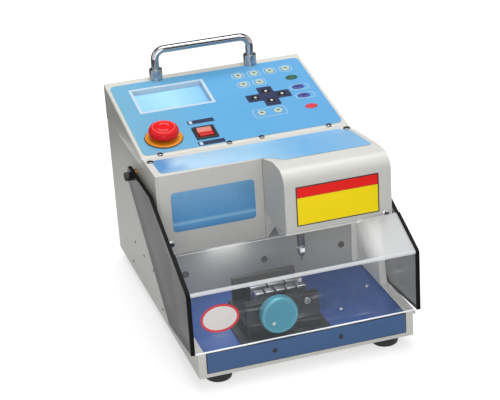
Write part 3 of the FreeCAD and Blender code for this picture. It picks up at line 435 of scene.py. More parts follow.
def linkSkin(tree, bsdf, skin, shade, bump, depth, glow):
    # colour, roughness and fine bump of a skin, depth in mm; glow lights it from inside
    tree.links.new(shade, bsdf.inputs["Base Color"])
    tree.links.new(skin.outputs["Roughness"], bsdf.inputs["Roughness"])
    raised = tree.nodes.new("ShaderNodeBump")
    raised.inputs["Strength"].default_value = bump
    raised.inputs["Distance"].default_value = depth * mm
    tree.links.new(skin.outputs["Height"], raised.inputs["Height"])
    tree.links.new(raised.outputs["Normal"], bsdf.inputs["Normal"])
    if glow:
        tree.links.new(shade, bsdf.inputs["Emission Color"])
        bsdf.inputs["Emission Strength"].default_value = glow


def finish(name, color, shine=0.4, metal=0.0, grain=900, tone=0.06, bump=0.15, lines=None,
           dust=0.0, coat=0.0, glow=0.0, cover=1.0, specular=0.5):
    material, tree, bsdf = newMaterial(name)
    if lines:
        skin = useGroup(tree, brushing, Color=seen(color), Lines=lines, Tone=tone, Shine=shine)
    else:
        skin = useGroup(tree, coating, Color=seen(color), Grain=grain, Tone=tone, Shine=shine)
    shade = skin.outputs["Color"]
    if dust:
        dusty = useGroup(tree, dusting, Dust=dust)
        tree.links.new(shade, dusty.inputs["Color"])
        shade = dusty.outputs["Color"]
    linkSkin(tree, bsdf, skin, shade, bump, depth=0.15, glow=glow)
    bsdf.inputs["Metallic"].default_value = metal
    bsdf.inputs["Coat Weight"].default_value = coat
    bsdf.inputs["Coat Roughness"].default_value = 0.08
    bsdf.inputs["Alpha"].default_value = cover
    bsdf.inputs["Specular IOR Level"].default_value = specular
    return material


def gradientFinish(name, stops, axis, low, high, waves, coat, shine=0.3, waveScale=14, glow=0.0, grid=0.0):
    # printed film whose colour runs along one axis of the object, in mm
    material, tree, bsdf = newMaterial(name)
    along = ramped(tree, alongAxis(tree, axis), low * mm, high * mm)
    ramp = tree.nodes.new("ShaderNodeValToRGB")
    while len(ramp.color_ramp.elements) < len(stops):
        ramp.color_ramp.elements.new(0.5)
    for element, (spot, color) in zip(ramp.color_ramp.elements, stops):
        element.position = spot
        element.color = seen(color)
    tree.links.new(swing(tree, noise(tree, waveScale, detail=2), waves, along), ramp.inputs["Fac"])
    skin = useGroup(tree, coating, Grain=1400, Tone=0.03, Shine=shine)
    tree.links.new(ramp.outputs["Color"], skin.inputs["Color"])
    shade = skin.outputs["Color"]
    if grid:  # fine cells of a liquid crystal screen
        cells = tree.nodes.new("ShaderNodeTexChecker")
        cells.inputs["Scale"].default_value = grid
        cells.inputs["Color1"].default_value = (1, 1, 1, 1)
        cells.inputs["Color2"].default_value = (0.93, 0.95, 0.96, 1)
        tree.links.new(objectSpace(tree), cells.inputs["Vector"])
        shade = mixed(tree, 1.0, shade, cells.outputs["Color"], "MULTIPLY")
    linkSkin(tree, bsdf, skin, shade, bump=0.06, depth=0.05, glow=glow)
    bsdf.inputs["Coat Weight"].default_value = coat
    return material


def sheetFinish(name, color, cover, edgeCover, shine, specular, glareStreaks=0.0):
    # clear or smoked sheet: denser and brighter at a grazing look
    material, tree, bsdf = newMaterial(name)
    bsdf.inputs["Base Color"].default_value = seen(color)
    bsdf.inputs["Specular IOR Level"].default_value = specular
    skin = useGroup(tree, coating, Grain=300, Shine=shine)
    tree.links.new(skin.outputs["Roughness"], bsdf.inputs["Roughness"])
    rim = tree.nodes.new("ShaderNodeLayerWeight")
    rim.inputs["Blend"].default_value = 0.25
    dense = ramped(tree, rim.outputs["Fresnel"], 0.0, 1.0, toLow=cover, toHigh=edgeCover)
    if glareStreaks:  # painted glare: faint pale streaks, long across and fine in height, in place of streaks of reflected light
        streaks = noise(tree, scale=1.0, detail=2, stretch=(22, 22, 420))
        marks = ramped(tree, streaks, low=0.62, high=0.8, toHigh=glareStreaks)
        dense = sums(tree, "ADD", dense, marks)
    tree.links.new(dense, bsdf.inputs["Alpha"])
    return material


def glareVeilFinish(name, color, low, high, start, end):
    # clear sheet under glare: a pale veil, a painted reflection, that thickens along X between two places, in
    # mm
    material, tree, bsdf = newMaterial(name)
    skin = useGroup(tree, coating, Color=seen(color), Grain=200, Tone=0.03, Shine=0.2)
    tree.links.new(skin.outputs["Color"], bsdf.inputs["Base Color"])
    tree.links.new(skin.outputs["Roughness"], bsdf.inputs["Roughness"])
    veil = ramped(tree, alongAxis(tree, "X"), start * mm, end * mm, low, high)
    tree.links.new(veil, bsdf.inputs["Alpha"])
    bsdf.inputs["Specular IOR Level"].default_value = 0.3
    return material


# covers, sheet metal and frame
whitePaint = finish("whitePaint", (200, 199, 194), shine=0.42, grain=1100, tone=0.03, bump=0.12, dust=0.04)
creamPlastic = finish("creamPlastic", (200, 199, 192), shine=0.35, grain=1500, tone=0.03, bump=0.08, coat=0.1)
bluePaint = finish("bluePaint", (49, 84, 130), shine=0.38, grain=1000, dust=0.05)
trayBlue = finish("trayBlue", (40, 80, 150), shine=0.35, tone=0.1, dust=0.06, specular=0.3)
blackPlastic = finish("blackPlastic", (26, 26, 28), shine=0.45, grain=1300, tone=0.15, bump=0.2)
footRubber = finish("footRubber", (22, 22, 23), shine=0.65, tone=0.25, bump=0.3, dust=0.1)

# bare metal and works
plateSteel = finish(
    "plateSteel", (160, 161, 158), shine=0.38, metal=0.25, lines=(6, 40, 900), tone=0.35, bump=0.1
)
brightSteel = finish(
    "brightSteel", (205, 205, 208), shine=0.28, metal=1.0, lines=(900, 40, 12), tone=0.4, bump=0.08
)
tableAlloy = finish(
    "tableAlloy", (176, 178, 182), shine=0.36, metal=0.9, lines=(20, 700, 60), tone=0.4, bump=0.1
)
viseIron = finish("viseIron", (36, 37, 40), shine=0.42, metal=0.35, grain=700, tone=0.1, bump=0.2, dust=0.03)
chrome = finish("chrome", (204, 205, 209), shine=0.1, metal=1.0, grain=300, tone=0.03, bump=0.02)
darkChrome = finish("darkChrome", (120, 121, 125), shine=0.2, metal=1.0, grain=500, tone=0.1, bump=0.05)
handleChrome = finish("handleChrome", (172, 172, 175), shine=0.1, metal=1.0, grain=300, tone=0.03, bump=0.02)
darkScrew = finish("darkScrew", (60, 60, 63), shine=0.34, metal=0.8, grain=500, tone=0.1, bump=0.05)
brass = finish("brass", (186, 146, 72), shine=0.28, metal=1.0, grain=600, tone=0.12, bump=0.06)
motorBlack = finish("motorBlack", (36, 36, 38), shine=0.5, grain=800, tone=0.2, bump=0.2)
boardGreen = finish("boardGreen", (34, 92, 58), grain=500, tone=0.3, bump=0.2)
knobCyan = finish("knobCyan", (54, 140, 163), shine=0.36, metal=0.25, bump=0.12)
knobEdge = finish("knobEdge", (74, 154, 174), shine=0.3, metal=0.25, bump=0.1)

# stop, switch and keys
stopRed = finish("stopRed", (214, 28, 34), shine=0.18, grain=400, bump=0.03, specular=0.14)
# pale red for the moulded arrows on the stop's top and for the ring on its crest, a painted highlight
stopPaleAndHighlight = finish("stopPaleAndHighlight", (222, 88, 88), shine=0.25, grain=500, tone=0.05, bump=0.04, specular=0.3)
stopYellow = finish("stopYellow", (224, 138, 30), shine=0.35, grain=700, tone=0.08, bump=0.06, specular=0.2)
rockerRed = finish("rockerRed", (196, 34, 30), shine=0.22, grain=600, tone=0.05, bump=0.04)
# pale rear half of the rocker: a painted highlight that also glows a little
rockerHighlight = finish("rockerHighlight", (199, 122, 110), shine=0.2, grain=600, tone=0.05, bump=0.04, glow=0.1)
bezelGrey = finish("bezelGrey", (182, 200, 214), shine=0.45, grain=1200, tone=0.05, bump=0.1)
navyPrint = finish("navyPrint", (42, 48, 82), shine=0.35, grain=1200, tone=0.12, bump=0.05)
palePrint = finish("palePrint", (178, 198, 212), shine=0.35, grain=1200, bump=0.05)
keyPale = finish("keyPale", (174, 192, 182), shine=0.35, grain=1100, bump=0.08)
keyCore = finish("keyCore", (86, 104, 74), shine=0.35, grain=1100, tone=0.2, bump=0.08)
keyBlack = finish("keyBlack", (22, 23, 28), shine=0.3, grain=1100, tone=0.1, bump=0.08, coat=0.2)
keyDot = finish("keyDot", (214, 214, 210), shine=0.35, grain=1100, bump=0.05)
keyGreen = finish("keyGreen", (36, 86, 72), shine=0.35, grain=1100, tone=0.12, bump=0.08)
keyViolet = finish("keyViolet", (68, 76, 148), shine=0.35, grain=1100, tone=0.12, bump=0.08)
keyRed = finish("keyRed", (204, 52, 58), shine=0.35, grain=1100, bump=0.08)

# printed plates and films
plateRed = finish("plateRed", (236, 34, 30), shine=0.35, grain=1300, tone=0.05, bump=0.04, specular=0.15)
plateYellow = finish(
    "plateYellow", (252, 224, 20), shine=0.35, grain=1300, tone=0.05, bump=0.04, specular=0.15
)
plateBlack = finish("plateBlack", (24, 22, 24), shine=0.35, grain=1300, tone=0.1, bump=0.04)
stickerWhite = finish("stickerWhite", (216, 211, 210), grain=1300, tone=0.03, bump=0.04)
stickerRed = finish("stickerRed", (206, 44, 58), grain=1300, tone=0.05, bump=0.04)
filmStops = {
    "sky": [(0.0, (108, 167, 197)), (0.45, (88, 161, 208)), (1.0, (92, 159, 208))],
    "roof": [(0.0, (88, 146, 198)), (0.16, (172, 205, 230)), (0.5, (150, 197, 228)), (0.72, (110, 175, 223)),
             (1.0, (138, 188, 228))],
    "name": [(0.0, (82, 146, 200)), (0.15, (88, 156, 208)), (0.2, (140, 192, 226)), (0.27, (80, 150, 204)),
             (1.0, (106, 160, 202))],
    "screen": [(0.0, (142, 190, 220)), (0.5, (152, 198, 226)), (1.0, (118, 174, 216))],
}
skyFilm = gradientFinish("skyFilm", filmStops["sky"], "X", -136, 136, waves=0.12, coat=0.15)
roofFilm = gradientFinish("roofFilm", filmStops["roof"], "X", -130, 134, waves=0.3, waveScale=22, coat=0.1)
nameFilm = gradientFinish("nameFilm", filmStops["name"], "Z", 144, 199, waves=0.04, coat=0.1)
screenGlow = gradientFinish(
    "screenGlow", filmStops["screen"], "X", -112, -10, waves=0.2, coat=0.0, shine=0.2, glow=0.25, grid=700
)

# shield
clearSheet = sheetFinish(
    "clearSheet", (222, 230, 236), cover=0.025, edgeCover=0.26, shine=0.1, specular=0.3, glareStreaks=0.2
)
# painted glare on the sloping top of the clear front
sheetTopGlare = glareVeilFinish("sheetTopGlare", (226, 228, 230), low=0.04, high=0.42, start=82, end=104)
# painted highlight along the fold of the clear front
sheetFoldHighlight = glareVeilFinish("sheetFoldHighlight", (228, 230, 233), low=0.52, high=0.6, start=60, end=120)
smokedSheet = sheetFinish("smokedSheet", (36, 35, 42), cover=0.54, edgeCover=0.76, shine=0.2, specular=0.12)
# lower edge of the clear front: a painted highlight, pale and glowing
sheetEdgeHighlight = finish(
    "sheetEdgeHighlight", (232, 236, 240), shine=0.2, grain=500, tone=0.05, bump=0.05, cover=0.9, glow=0.45
)
smokedEdge = finish("smokedEdge", (19, 18, 18), shine=0.5, grain=500, tone=0.1, bump=0.05, specular=0.05)
print("finishes:", len(bpy.data.materials))


# covers and sheet metal

headEdges = {"wall": -56.5, "roof": 223.8, "left": 0.2, "right": 139.8, "brow": -142.8, "belly": 153}
consoleEdges = {"rim": 212.5, "side": 140.5, "front": 7.3, "rear": 196.9}


def headOuter(line):
    middle = lineMiddle(line)
    if middle.y > headEdges["wall"] and middle.z < headEdges["roof"]:
        return False
    lowFront = middle.y < headEdges["brow"] and middle.z < headEdges["belly"]
    return middle.x < headEdges["left"] or middle.x > headEdges["right"] or lowFront


def consoleOuter(line):
    middle = lineMiddle(line)
    outer = abs(middle.x) > consoleEdges["side"]
    outer = outer or middle.y < consoleEdges["front"] or middle.y > consoleEdges["rear"]
    return outer and middle.z > consoleEdges["rim"]


headRamp = {
    "wide": 26, "wall": -57, "crown": -101, "under": 223, "start": 223.9, "roof": 224.05, "brow": 235,
    "across": (6.5, 13, 19.5, 26), "along": (-29, -43, -57, -68, -79, -90),
}


def rampDrop(point):
    # how far the head's top left edge comes down to meet the roof, mm
    if point.y < headRamp["crown"] or point.z < headRamp["start"] or point.x > headRamp["wide"]:
        return 0
    along = min(max((headRamp["wall"] - point.y) / (headRamp["wall"] - headRamp["crown"]), 0), 1)
    edge = headRamp["roof"] + (headRamp["brow"] - headRamp["roof"]) * along
    return max(point.z - edge, 0) * (1 - max(point.x, 0) / headRamp["wide"])


def isTop(face):
    high = min(point.co.z for point in face.verts) > headRamp["under"] * mm
    return high and abs(face.normal.z) > 0.5


def headSlope(work):  # a grid of cuts, so that the head's top and its film bend alike
    cuts = [((x, 0, 0), (1, 0, 0)) for x in headRamp["across"]]
    cuts += [((0, y, 0), (0, 1, 0)) for y in headRamp["along"]]
    for cutPlace, across in cuts:
        near = [face for face in work.faces if isTop(face)]
        parts = set(near)
        for face in near:
            parts.update(face.edges)
            parts.update(face.verts)
        bmesh.ops.bisect_plane(work, geom=list(parts), plane_co=Vector(cutPlace) * mm, plane_no=across)
    for point in work.verts:
        point.co.z -= rampDrop(point.co / mm) * mm


softened("base_pan", 0.8, whitePaint)
softened("left_side_panel", 0.7, whitePaint)
softened("right_side_panel", 0.7, whitePaint)
softened("rear_panel", 0.4, whitePaint, segments=2)
softened("head_cover", 1.1, whitePaint)
softened("spindle_head_cover", 4.0, whitePaint, pick=headOuter, segments=4, shape=headSlope)
softened("console_shell", 2.4, creamPlastic, pick=consoleOuter, segments=4)
softened("blue_front_panel", 0.5, bluePaint)
softened("tray_floor", 0.4, trayBlue, segments=2)
softened("column_plate", 0.5, plateSteel, segments=2)
softened("rubber_feet", 2.2, footRubber)
softened("handle_ferrules", 1.0, handleChrome)
softened("x_carriage", 0.5, viseIron, segments=2)
softened("power_inlet", 0.5, blackPlastic, segments=2)
rimLip = {"side": 139.6, "out": 143.3, "front": -204.5, "rear": -57.6, "low": 42.5, "top": 47.2, "thick": 1.3}
lipLegs = (
    (rimLip["side"], rimLip["top"] - rimLip["thick"]),
    (rimLip["out"] - rimLip["thick"], rimLip["low"]),
)
lips = []
for side in (-1, 1):
    for start, low in lipLegs:
        left, right = sorted((start * side, rimLip["out"] * side))
        lipLow = (left, rimLip["front"], low)
        lipHigh = (right, rimLip["rear"], rimLip["top"])
        lips.append(block(lipLow, lipHigh, edge=0.4, segments=2))
settle("rimLips", joined(lips), "housing", whitePaint)

wallTongue = {
    "start": 0.0, "end": 30.0, "low": 113.0, "top": 151.8, "front": -57.0, "thick": 1.6,
    "notch": ((1.5, 113.0), (12.0, 127.0), (18.0, 113.0)),
}
tongueRim = [
    (wallTongue["start"], wallTongue["top"]), (wallTongue["start"], wallTongue["low"]), *wallTongue["notch"],
    (wallTongue["end"], wallTongue["low"]), (wallTongue["end"], wallTongue["top"]),
]
tongueWork = plate([tongueRim], -wallTongue["thick"], 0, onFront(wallTongue["front"]), edge=0.3)
settle("wallTongue", tongueWork, "housing", whitePaint)
print("covers done")


frontSheet = {"strip": 144.0, "face": -208.6, "low": 51.0, "fold": 128.0, "upright": 0.05, "lying": 0.88}


def sheetCut(work):  # lines for the dark strips at both ends; the front face gives room for the sticker
    for side in (-1, 1):
        parts = list(work.verts) + list(work.edges) + list(work.faces)
        cutPlace = Vector((frontSheet["strip"] * side * mm, 0, 0))
        bmesh.ops.bisect_plane(work, geom=parts, plane_co=cutPlace, plane_no=(1, 0, 0))
    for point in work.verts:
        point.co.y = max(point.co.y, frontSheet["face"] * mm)


def sheetFaces(face):
    # 0 upright front, 1 lower edge with a painted highlight, 2 sloping top with painted glare, 3 fold with a
    # painted highlight, 4 dark strips
    middle = face.calc_center_median() / mm
    if abs(middle.x) > frontSheet["strip"]:
        return 4
    if middle.z < frontSheet["low"]:
        return 1
    lean = abs(face.normal.z)
    if lean < frontSheet["upright"]:
        return 0 if middle.z < frontSheet["fold"] else 2
    return 2 if lean > frontSheet["lying"] else 3


def plateFaces(face):
    return 0 if abs(face.normal.x) > 0.9 else 1


softened(
    "shield_front_sheet", 0.5, [clearSheet, sheetEdgeHighlight, sheetTopGlare, sheetFoldHighlight, smokedEdge],
    paint=sheetFaces, segments=2, shape=sheetCut,
)
softened("shield_left_plate", 0.8, [smokedSheet, smokedEdge], paint=plateFaces)
softened("shield_right_plate", 0.8, [smokedSheet, smokedEdge], paint=plateFaces)

pivotKnob = {"y": 47.0, "z": 187.0, "washer": (140, 143.7), "start": 149.3, "radius": 6.2, "length": 7.6}
start, radius = pivotKnob["start"], pivotKnob["radius"]
end = start + pivotKnob["length"]
low, high = pivotKnob["washer"]
pivotProfile = [
    (0, start - 12), (4, start - 12), (4, start), (radius - 1, start), (radius, start + 1), (radius, end - 2),
    (radius - 1.2, end - 0.4), (radius - 3, end), (0, end - 0.6),
]
washerProfile = [(4.1, low), (7.6, low), (8, low + 0.4), (8, high - 0.4), (7.6, high), (4.1, high)]
knobs = []
washers = []
for side in (-1, 1):
    pivotPlace = facing((side, 0, 0), 0, pivotKnob["y"], pivotKnob["z"])
    knobs.append(turned(pivotProfile, pivotPlace, steps=60, waves=(15, 0.5, start + 0.9, end - 1.9)))
    washers.append(turned(washerProfile, pivotPlace))
pivotKnobs = settle("pivotKnobs", joined(knobs), "housing", blackPlastic)
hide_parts("shield_pivots")
settle("pivotWashers", joined(washers), "housing", brass)
print("shield done")


# films and plates on the covers

# a thin dark sheet behind the blue front panel's edge: painted shade for the gap round the panel
panelGapShade = {"z": 33.5, "wide": 260.4, "tall": 28.0, "face": -205, "thick": 0.5}
panelGapShadeRim = roundRect(0, panelGapShade["z"], panelGapShade["wide"], panelGapShade["tall"], radius=1)
panelGapShadeWork = plate([panelGapShadeRim], 0, panelGapShade["thick"], onFront(panelGapShade["face"]), edge=0.1)
settle("panelGapPaintedShade", panelGapShadeWork, "housing", plateBlack)
namePlate = {"x": -67, "z": 171.2, "wide": 110, "tall": 54, "corner": 5, "face": -57, "thick": 0.6}
nameRim = roundRect(namePlate["x"], namePlate["z"], namePlate["wide"], namePlate["tall"], namePlate["corner"])
nameWork = plate([nameRim], 0, namePlate["thick"], onFront(namePlate["face"]))
settle("namePlate", nameWork, "housing", nameFilm)

noticePlate = {
    "x": 68.8, "z": 188.4, "wide": 109, "tall": 52.6, "rim": 1.5, "band": 13, "gap": 0.4,
    "face": -143, "thick": 0.4, "low": 0.3, "top": 0.65,
}
x, z, wide, tall, rim, band, gap = (
    noticePlate[key] for key in ("x", "z", "wide", "tall", "rim", "band", "gap")
)
backRim = roundRect(x, z, wide, tall, radius=1)
bandRim = roundRect(x, z + tall / 2 - rim - band / 2, wide - rim * 2, band, radius=0.4)
fieldRim = roundRect(x, z - band / 2 - gap / 2, wide - rim * 2, tall - band - rim * 2 - gap, radius=0.4)
noticePlace = onFront(noticePlate["face"])
backWork = plate([backRim], 0, noticePlate["thick"], noticePlace)
bandWork = plate([bandRim], noticePlate["low"], noticePlate["top"], noticePlace)
fieldWork = plate([fieldRim], noticePlate["low"], noticePlate["top"], noticePlace)
settle("noticeBack", backWork, "housing", plateBlack)
settle("noticeBand", bandWork, "housing", plateRed)
settle("noticeField", fieldWork, "housing", plateYellow)

roofDecal = {
    "left": -131, "right": 133, "rear": -5, "front": -50.5, "wall": -56.5, "headFront": -99.5, "tail": -15,
    "roof": 224, "lip": 0.8, "slope": 0.1172, "corner": 6, "over": 0.3, "thick": 0.35,
    "seam": -0.5, "start": -0.4, "shoulder": 16, "cut": 12, "cutCorner": 3, "lift": 0.05,
}
left, right, rear, tail, seam, start, corner = (
    roofDecal[key] for key in ("left", "right", "rear", "tail", "seam", "start", "corner")
)
lean = math.atan(roofDecal["slope"])
run = (tail - roofDecal["headFront"]) / math.cos(lean)
wallRun = (tail - roofDecal["wall"]) / math.cos(lean)
leftRim = roundCorners(
    [(left, roofDecal["front"]), (seam, roofDecal["wall"]), (seam, rear), (left, rear)],
    [corner, 0, 0, corner],
)
rightRim = roundCorners(
    [(start, -wallRun), (roofDecal["shoulder"], -run), (right, -run), (right, 0), (start, 0)],
    [0, corner, corner, 0, 0],
)
rearRim = roundCorners(
    [(start, tail), (right, tail), (right - roofDecal["cut"], rear), (start, rear)],
    [0, 0, roofDecal["cutCorner"], 0],
)
roofPlace = Matrix.Translation((0, 0, roofDecal["roof"] * mm))
slopePlace = Matrix.Translation((0, tail * mm, (roofDecal["roof"] + roofDecal["lip"]) * mm))
slopePlace = slopePlace @ Matrix.Rotation(-lean, 4, "X")
lift, thick = roofDecal["lift"], roofDecal["thick"]
leftWork = plate([leftRim], 0, thick, roofPlace, edge=0.05)
rightWork = plate([rightRim], lift, thick + lift, slopePlace, edge=0.05)
headSlope(rightWork)
for point in rightWork.verts:
    point.co.z = max(point.co.z + roofDecal["over"] * mm, headRamp["roof"] * mm)
rearWork = plate([rearRim], 0, thick, roofPlace, edge=0.05)
settle("roofFilm", joined([leftWork, rightWork, rearWork]), "housing", roofFilm)

bayStrip = {"inner": 122, "outer": 130.6, "y": -40, "low": 47.2, "left": 112.5, "right": 151.5, "thick": 1.2}
strips = []
for side, top in ((-1, bayStrip["left"]), (1, bayStrip["right"])):
    middle = (bayStrip["inner"] + bayStrip["outer"]) / 2 * side
    wide = bayStrip["outer"] - bayStrip["inner"]
    tall = top - bayStrip["low"]
    stripRim = roundRect(middle, bayStrip["low"] + tall / 2, wide, tall, radius=0.5)
    strips.append(plate([stripRim], 0, bayStrip["thick"], onFront(bayStrip["y"]), edge=0.3))
settle("bayStrips", joined(strips), "housing", whitePaint)

sticker = {
    "x": -110.0, "z": 93.8, "wide": 24.2, "tall": 18.6, "rim": 2.9, "overlap": 1,
    "field": (0.03, 0.25), "ring": (0.05, 0.35),
}


def stickerOval(inset):
    return ringPoints(sticker["x"], sticker["z"], sticker["wide"] - inset, sticker["tall"] - inset, 56)


stickerPlace = onFront(frontSheet["face"])
stickerWork = plate([stickerOval(sticker["overlap"])], *sticker["field"], stickerPlace, edge=0.05)
settle("sheetSticker", stickerWork, "shield", stickerWhite)
rimWork = plate([stickerOval(0), stickerOval(sticker["rim"])], *sticker["ring"], stickerPlace, edge=0.05)
settle("stickerRim", rimWork, "shield", stickerRed)
print("films done")


# screws, studs and rivets

screwKinds = {
    "pan": [(0, 0), (4.6, 0), (4.6, 0.6), (4.3, 1.1), (3.6, 1.42), (0, 1.5)],
    "cap": [(0, 0), (4.5, 0), (4.5, 1.1), (4.1, 1.5), (2.4, 1.5), (2.2, 0.4), (0, 0.4)],
    "edge": [(0, 0), (3.8, 0), (3.8, 0.5), (3.5, 1.0), (2.9, 1.4), (0, 1.5)],
    "stud": [(0, 0), (3, 0), (3, 0.5), (2.6, 1.1), (1.9, 1.45), (1.1, 1.5), (0.9, 0.8), (0, 0.8)],
    "rivet": [(0, 0), (1.9, 0), (1.7, 0.5), (0.9, 0.85), (0, 0.95)],
}
crossSlot = {"long": 2.8, "wide": 0.85, "rise": 1.53, "thick": 0.2}
slotRim = crossPoints(crossSlot["long"], crossSlot["long"], crossSlot["wide"], crossSlot["wide"])


def tinted(work, number):
    for face in work.faces:
        face.material_index = number
    return work


def crossHead(kind, place, angle, tint=0):  # screw head with a dark cross slot, a thin black plate on top: painted shade for the recess
    slotPlace = place @ Matrix.Rotation(angle, 4, "Z")
    slotLow = crossSlot["rise"] - crossSlot["thick"]
    slotWork = plate([slotRim], slotLow, crossSlot["rise"], slotPlace, edge=0.03)
    return [tinted(turned(screwKinds[kind], place, steps=24), tint), tinted(slotWork, 1)]


screwSpots = {
    "panel": [(-115, 3.7), (-22, 3.7), (22, 3.7), (115, 3.7)],
    "roof": [(-133, -8, 224), (133, -8, 224)],
    "front": [(-126.5, -57, 129), (131.2, -143, 158)],
    "rear": [(-128.5, 206.7, 56), (-128.5, 206.7, 200), (128.5, 206.7, 56), (128.5, 206.7, 200)],
    "bolt": [(-107, -40, 75), (0, -40, 75), (107, -40, 75)],
    "stud": [(-43, -206.5, 33.5), (43, -206.5, 33.5)],
    "rivet": [(140, 96, 69), (140, 48.5, 69), (140, -0.8, 69), (140, -37, 29.5), (140, 120, 29.5)],
}
brightSpots = []
darkSpots = []
for number, spot in enumerate(screwSpots["panel"]):
    brightSpots += crossHead("edge", onPanel(*spot), 0.5 + number, 2)
for number, spot in enumerate(screwSpots["roof"]):
    brightSpots += crossHead("pan", facing((0, 0, 1), *spot), 0.3 + number, 2)
for number, spot in enumerate(screwSpots["front"]):
    brightSpots += crossHead("pan", facing((0, -1, 0), *spot), 0.8 + number)
for number, spot in enumerate(screwSpots["rear"]):
    brightSpots += crossHead("pan", facing((0, 1, 0), *spot), 0.2 + number // 2 + spot[2])
for spot in screwSpots["bolt"]:
    darkSpots.append(turned(screwKinds["cap"], facing((0, -1, 0), *spot), steps=30))
for spot in screwSpots["stud"]:
    darkSpots.append(turned(screwKinds["stud"], facing((0, -1, 0), *spot), steps=24))
for side in (-1, 1):
    for x, y, z in screwSpots["rivet"]:
        darkSpots.append(turned(screwKinds["rivet"], facing((side, 0, 0), x * side, y, z), steps=20))
screwTints = [chrome, blackPlastic, darkChrome]  # heads, slots (painted shade of the recess), heads beside the blue films
screws = settle("coverScrews", joined(brightSpots), "housing", screwTints)
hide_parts("cover_screws")
settle("darkScrews", joined(darkSpots), "housing", darkScrew)
print("screws done")


# control panel

filmCorner = 8
toPanel = panelPlace.inverted()
filmPoints = [toPanel @ point.co / mm for point in nodes["panel_overlay"].data.vertices]
filmHalf = max(point.x for point in filmPoints)
filmFront = min(point.y for point in filmPoints)
filmRear = max(point.y for point in filmPoints)
outward = panelTurn.to_3x3() @ Vector((0, 0, 1))


def filmEdge(line):
    local = toPanel @ (lineMiddle(line) * mm) / mm
    tall = abs((line.verts[0].co - line.verts[1].co).normalized().dot(outward)) > 0.9
    return tall and abs(local.x) > filmHalf - 1 and (local.y < filmFront + 1 or local.y > filmRear - 1)


softened("panel_overlay", filmCorner, skyFilm, pick=filmEdge, segments=6)
softened("display_bezel", 0.25, bezelGrey, segments=2)
dressNode("display_window", screenGlow)

stop = {"x": -100, "row": 39.5}
stopPlace = onPanel(stop["x"], stop["row"])
stopProfiles = {
    "collar": [(11.05, -14), (13, -14), (13, 0.6), (24.6, 0.9), (24.6, 2.2), (23.6, 3.0), (22.6, 3.1),
               (13.5, 3.1), (11.05, 2.8)],
    "rim": [(24.4, 0.6), (25.4, 0.6), (25.4, 1.3), (24.9, 1.6), (24.4, 1.6)],
    "head": [(0, 7.6), (17.0, 7.6), (19.2, 8.3), (20.0, 9.8), (19.9, 12.5), (19.2, 15.2), (17.8, 17.2),
             (16.0, 18.3), (14.6, 18.6), (13.2, 18.3), (11.8, 17.9), (6, 17.6), (0, 17.5)],
    # the ring is a pale line on the crest of the dish, a painted highlight
    "ring": [(13.9, 18.45), (14.6, 18.72), (15.4, 18.6), (14.6, 18.3)],
}
stopWorks = {name: turned(profile, stopPlace, steps=72) for name, profile in stopProfiles.items()}
collar = settle("stopCollar", stopWorks["collar"], "housing", stopYellow)
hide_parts("stop_collar")
settle("stopRim", stopWorks["rim"], "housing", plateBlack)
head = settle("stopHead", stopWorks["head"], "stop_head", stopRed, sharp=60)
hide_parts("stop_head")
stopArrow = {
    "inner": 7.2, "outer": 9.6, "start": 0.3, "sweep": 1.5, "tip": 0.35, "flare": 0.9, "steps": 12,
    "low": 17.4, "top": 18.1,
}


def spoke(radius, angle):
    return (radius * math.cos(angle), radius * math.sin(angle))


def curvedArrow(start):
    inner, outer, steps = stopArrow["inner"], stopArrow["outer"], stopArrow["steps"]
    angles = [start + stopArrow["sweep"] * step / steps for step in range(steps + 1)]
    end = angles[-1]
    middle = (inner + outer) / 2
    wide = (outer - inner) * stopArrow["flare"]
    point = [spoke(middle + wide, end), spoke(middle, end + stopArrow["tip"]), spoke(middle - wide, end)]
    outside = [spoke(outer, angle) for angle in angles]
    inside = [spoke(inner, angle) for angle in reversed(angles)]
    return outside + point + inside


arrowStarts = (stopArrow["start"], stopArrow["start"] + math.pi)
low, top = stopArrow["low"], stopArrow["top"]
arrows = [plate([curvedArrow(start)], low, top, stopPlace) for start in arrowStarts]
settle("stopArrows", joined(arrows), "stop_head", stopPaleAndHighlight)
# pale ring on the crest of the dish: a painted highlight
settle("stopRingHighlight", stopWorks["ring"], "stop_head", stopPaleAndHighlight)
dressNode("stop_plunger", blackPlastic)

rocker = {
    "x": -45, "row": 36, "bezel": 30, "body": 26, "room": 22, "cap": 9.9,
    "frame": (0.6, 2.6), "well": (-15.9, 0.7), "edge": 0.5, "sharp": 50, "pale": 0.2, "pin": -2,
}
rockerPlace = onPanel(rocker["x"], rocker["row"])
bezel, body, room, half = (rocker[key] for key in ("bezel", "body", "room", "cap"))
frameRims = [roundRect(0, 0, bezel, bezel, radius=1.6), roundRect(0, 0, room, room, radius=0.8)]
wellRims = [roundRect(0, 0, body, body, radius=0.6), roundRect(0, 0, room, room, radius=0.6)]
frameWork = plate(frameRims, *rocker["frame"], rockerPlace, edge=0.6)
wellWork = plate(wellRims, *rocker["well"], rockerPlace, edge=0.1)
bezelPiece = settle("switchBezel", joined([frameWork, wellWork]), "housing", blackPlastic)
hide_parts("switch_bezel")
capSide = [
    (-half, -4.5), (half, -4.5), (half, 3.5), (half - 0.8, 4.0),
    (0.4, 2.3), (-0.4, 2.3), (0.8 - half, 4.0), (-half, 3.5),
]
capWork = bmesh.new()
ends = [[capWork.verts.new((x * mm, y * mm, z * mm)) for y, z in capSide] for x in (-half, half)]
for number in range(len(capSide)):
    after = (number + 1) % len(capSide)
    capWork.faces.new([ends[0][number], ends[0][after], ends[1][after], ends[1][number]])
capWork.faces.new(ends[0][::-1])
capWork.faces.new(ends[1])
bmesh.ops.recalc_face_normals(capWork, faces=capWork.faces)
outerEdges = [line for line in capWork.edges if line.calc_face_angle(0) > math.radians(rocker["sharp"])]
roundEdges(capWork, outerEdges, rocker["edge"], segments=3)
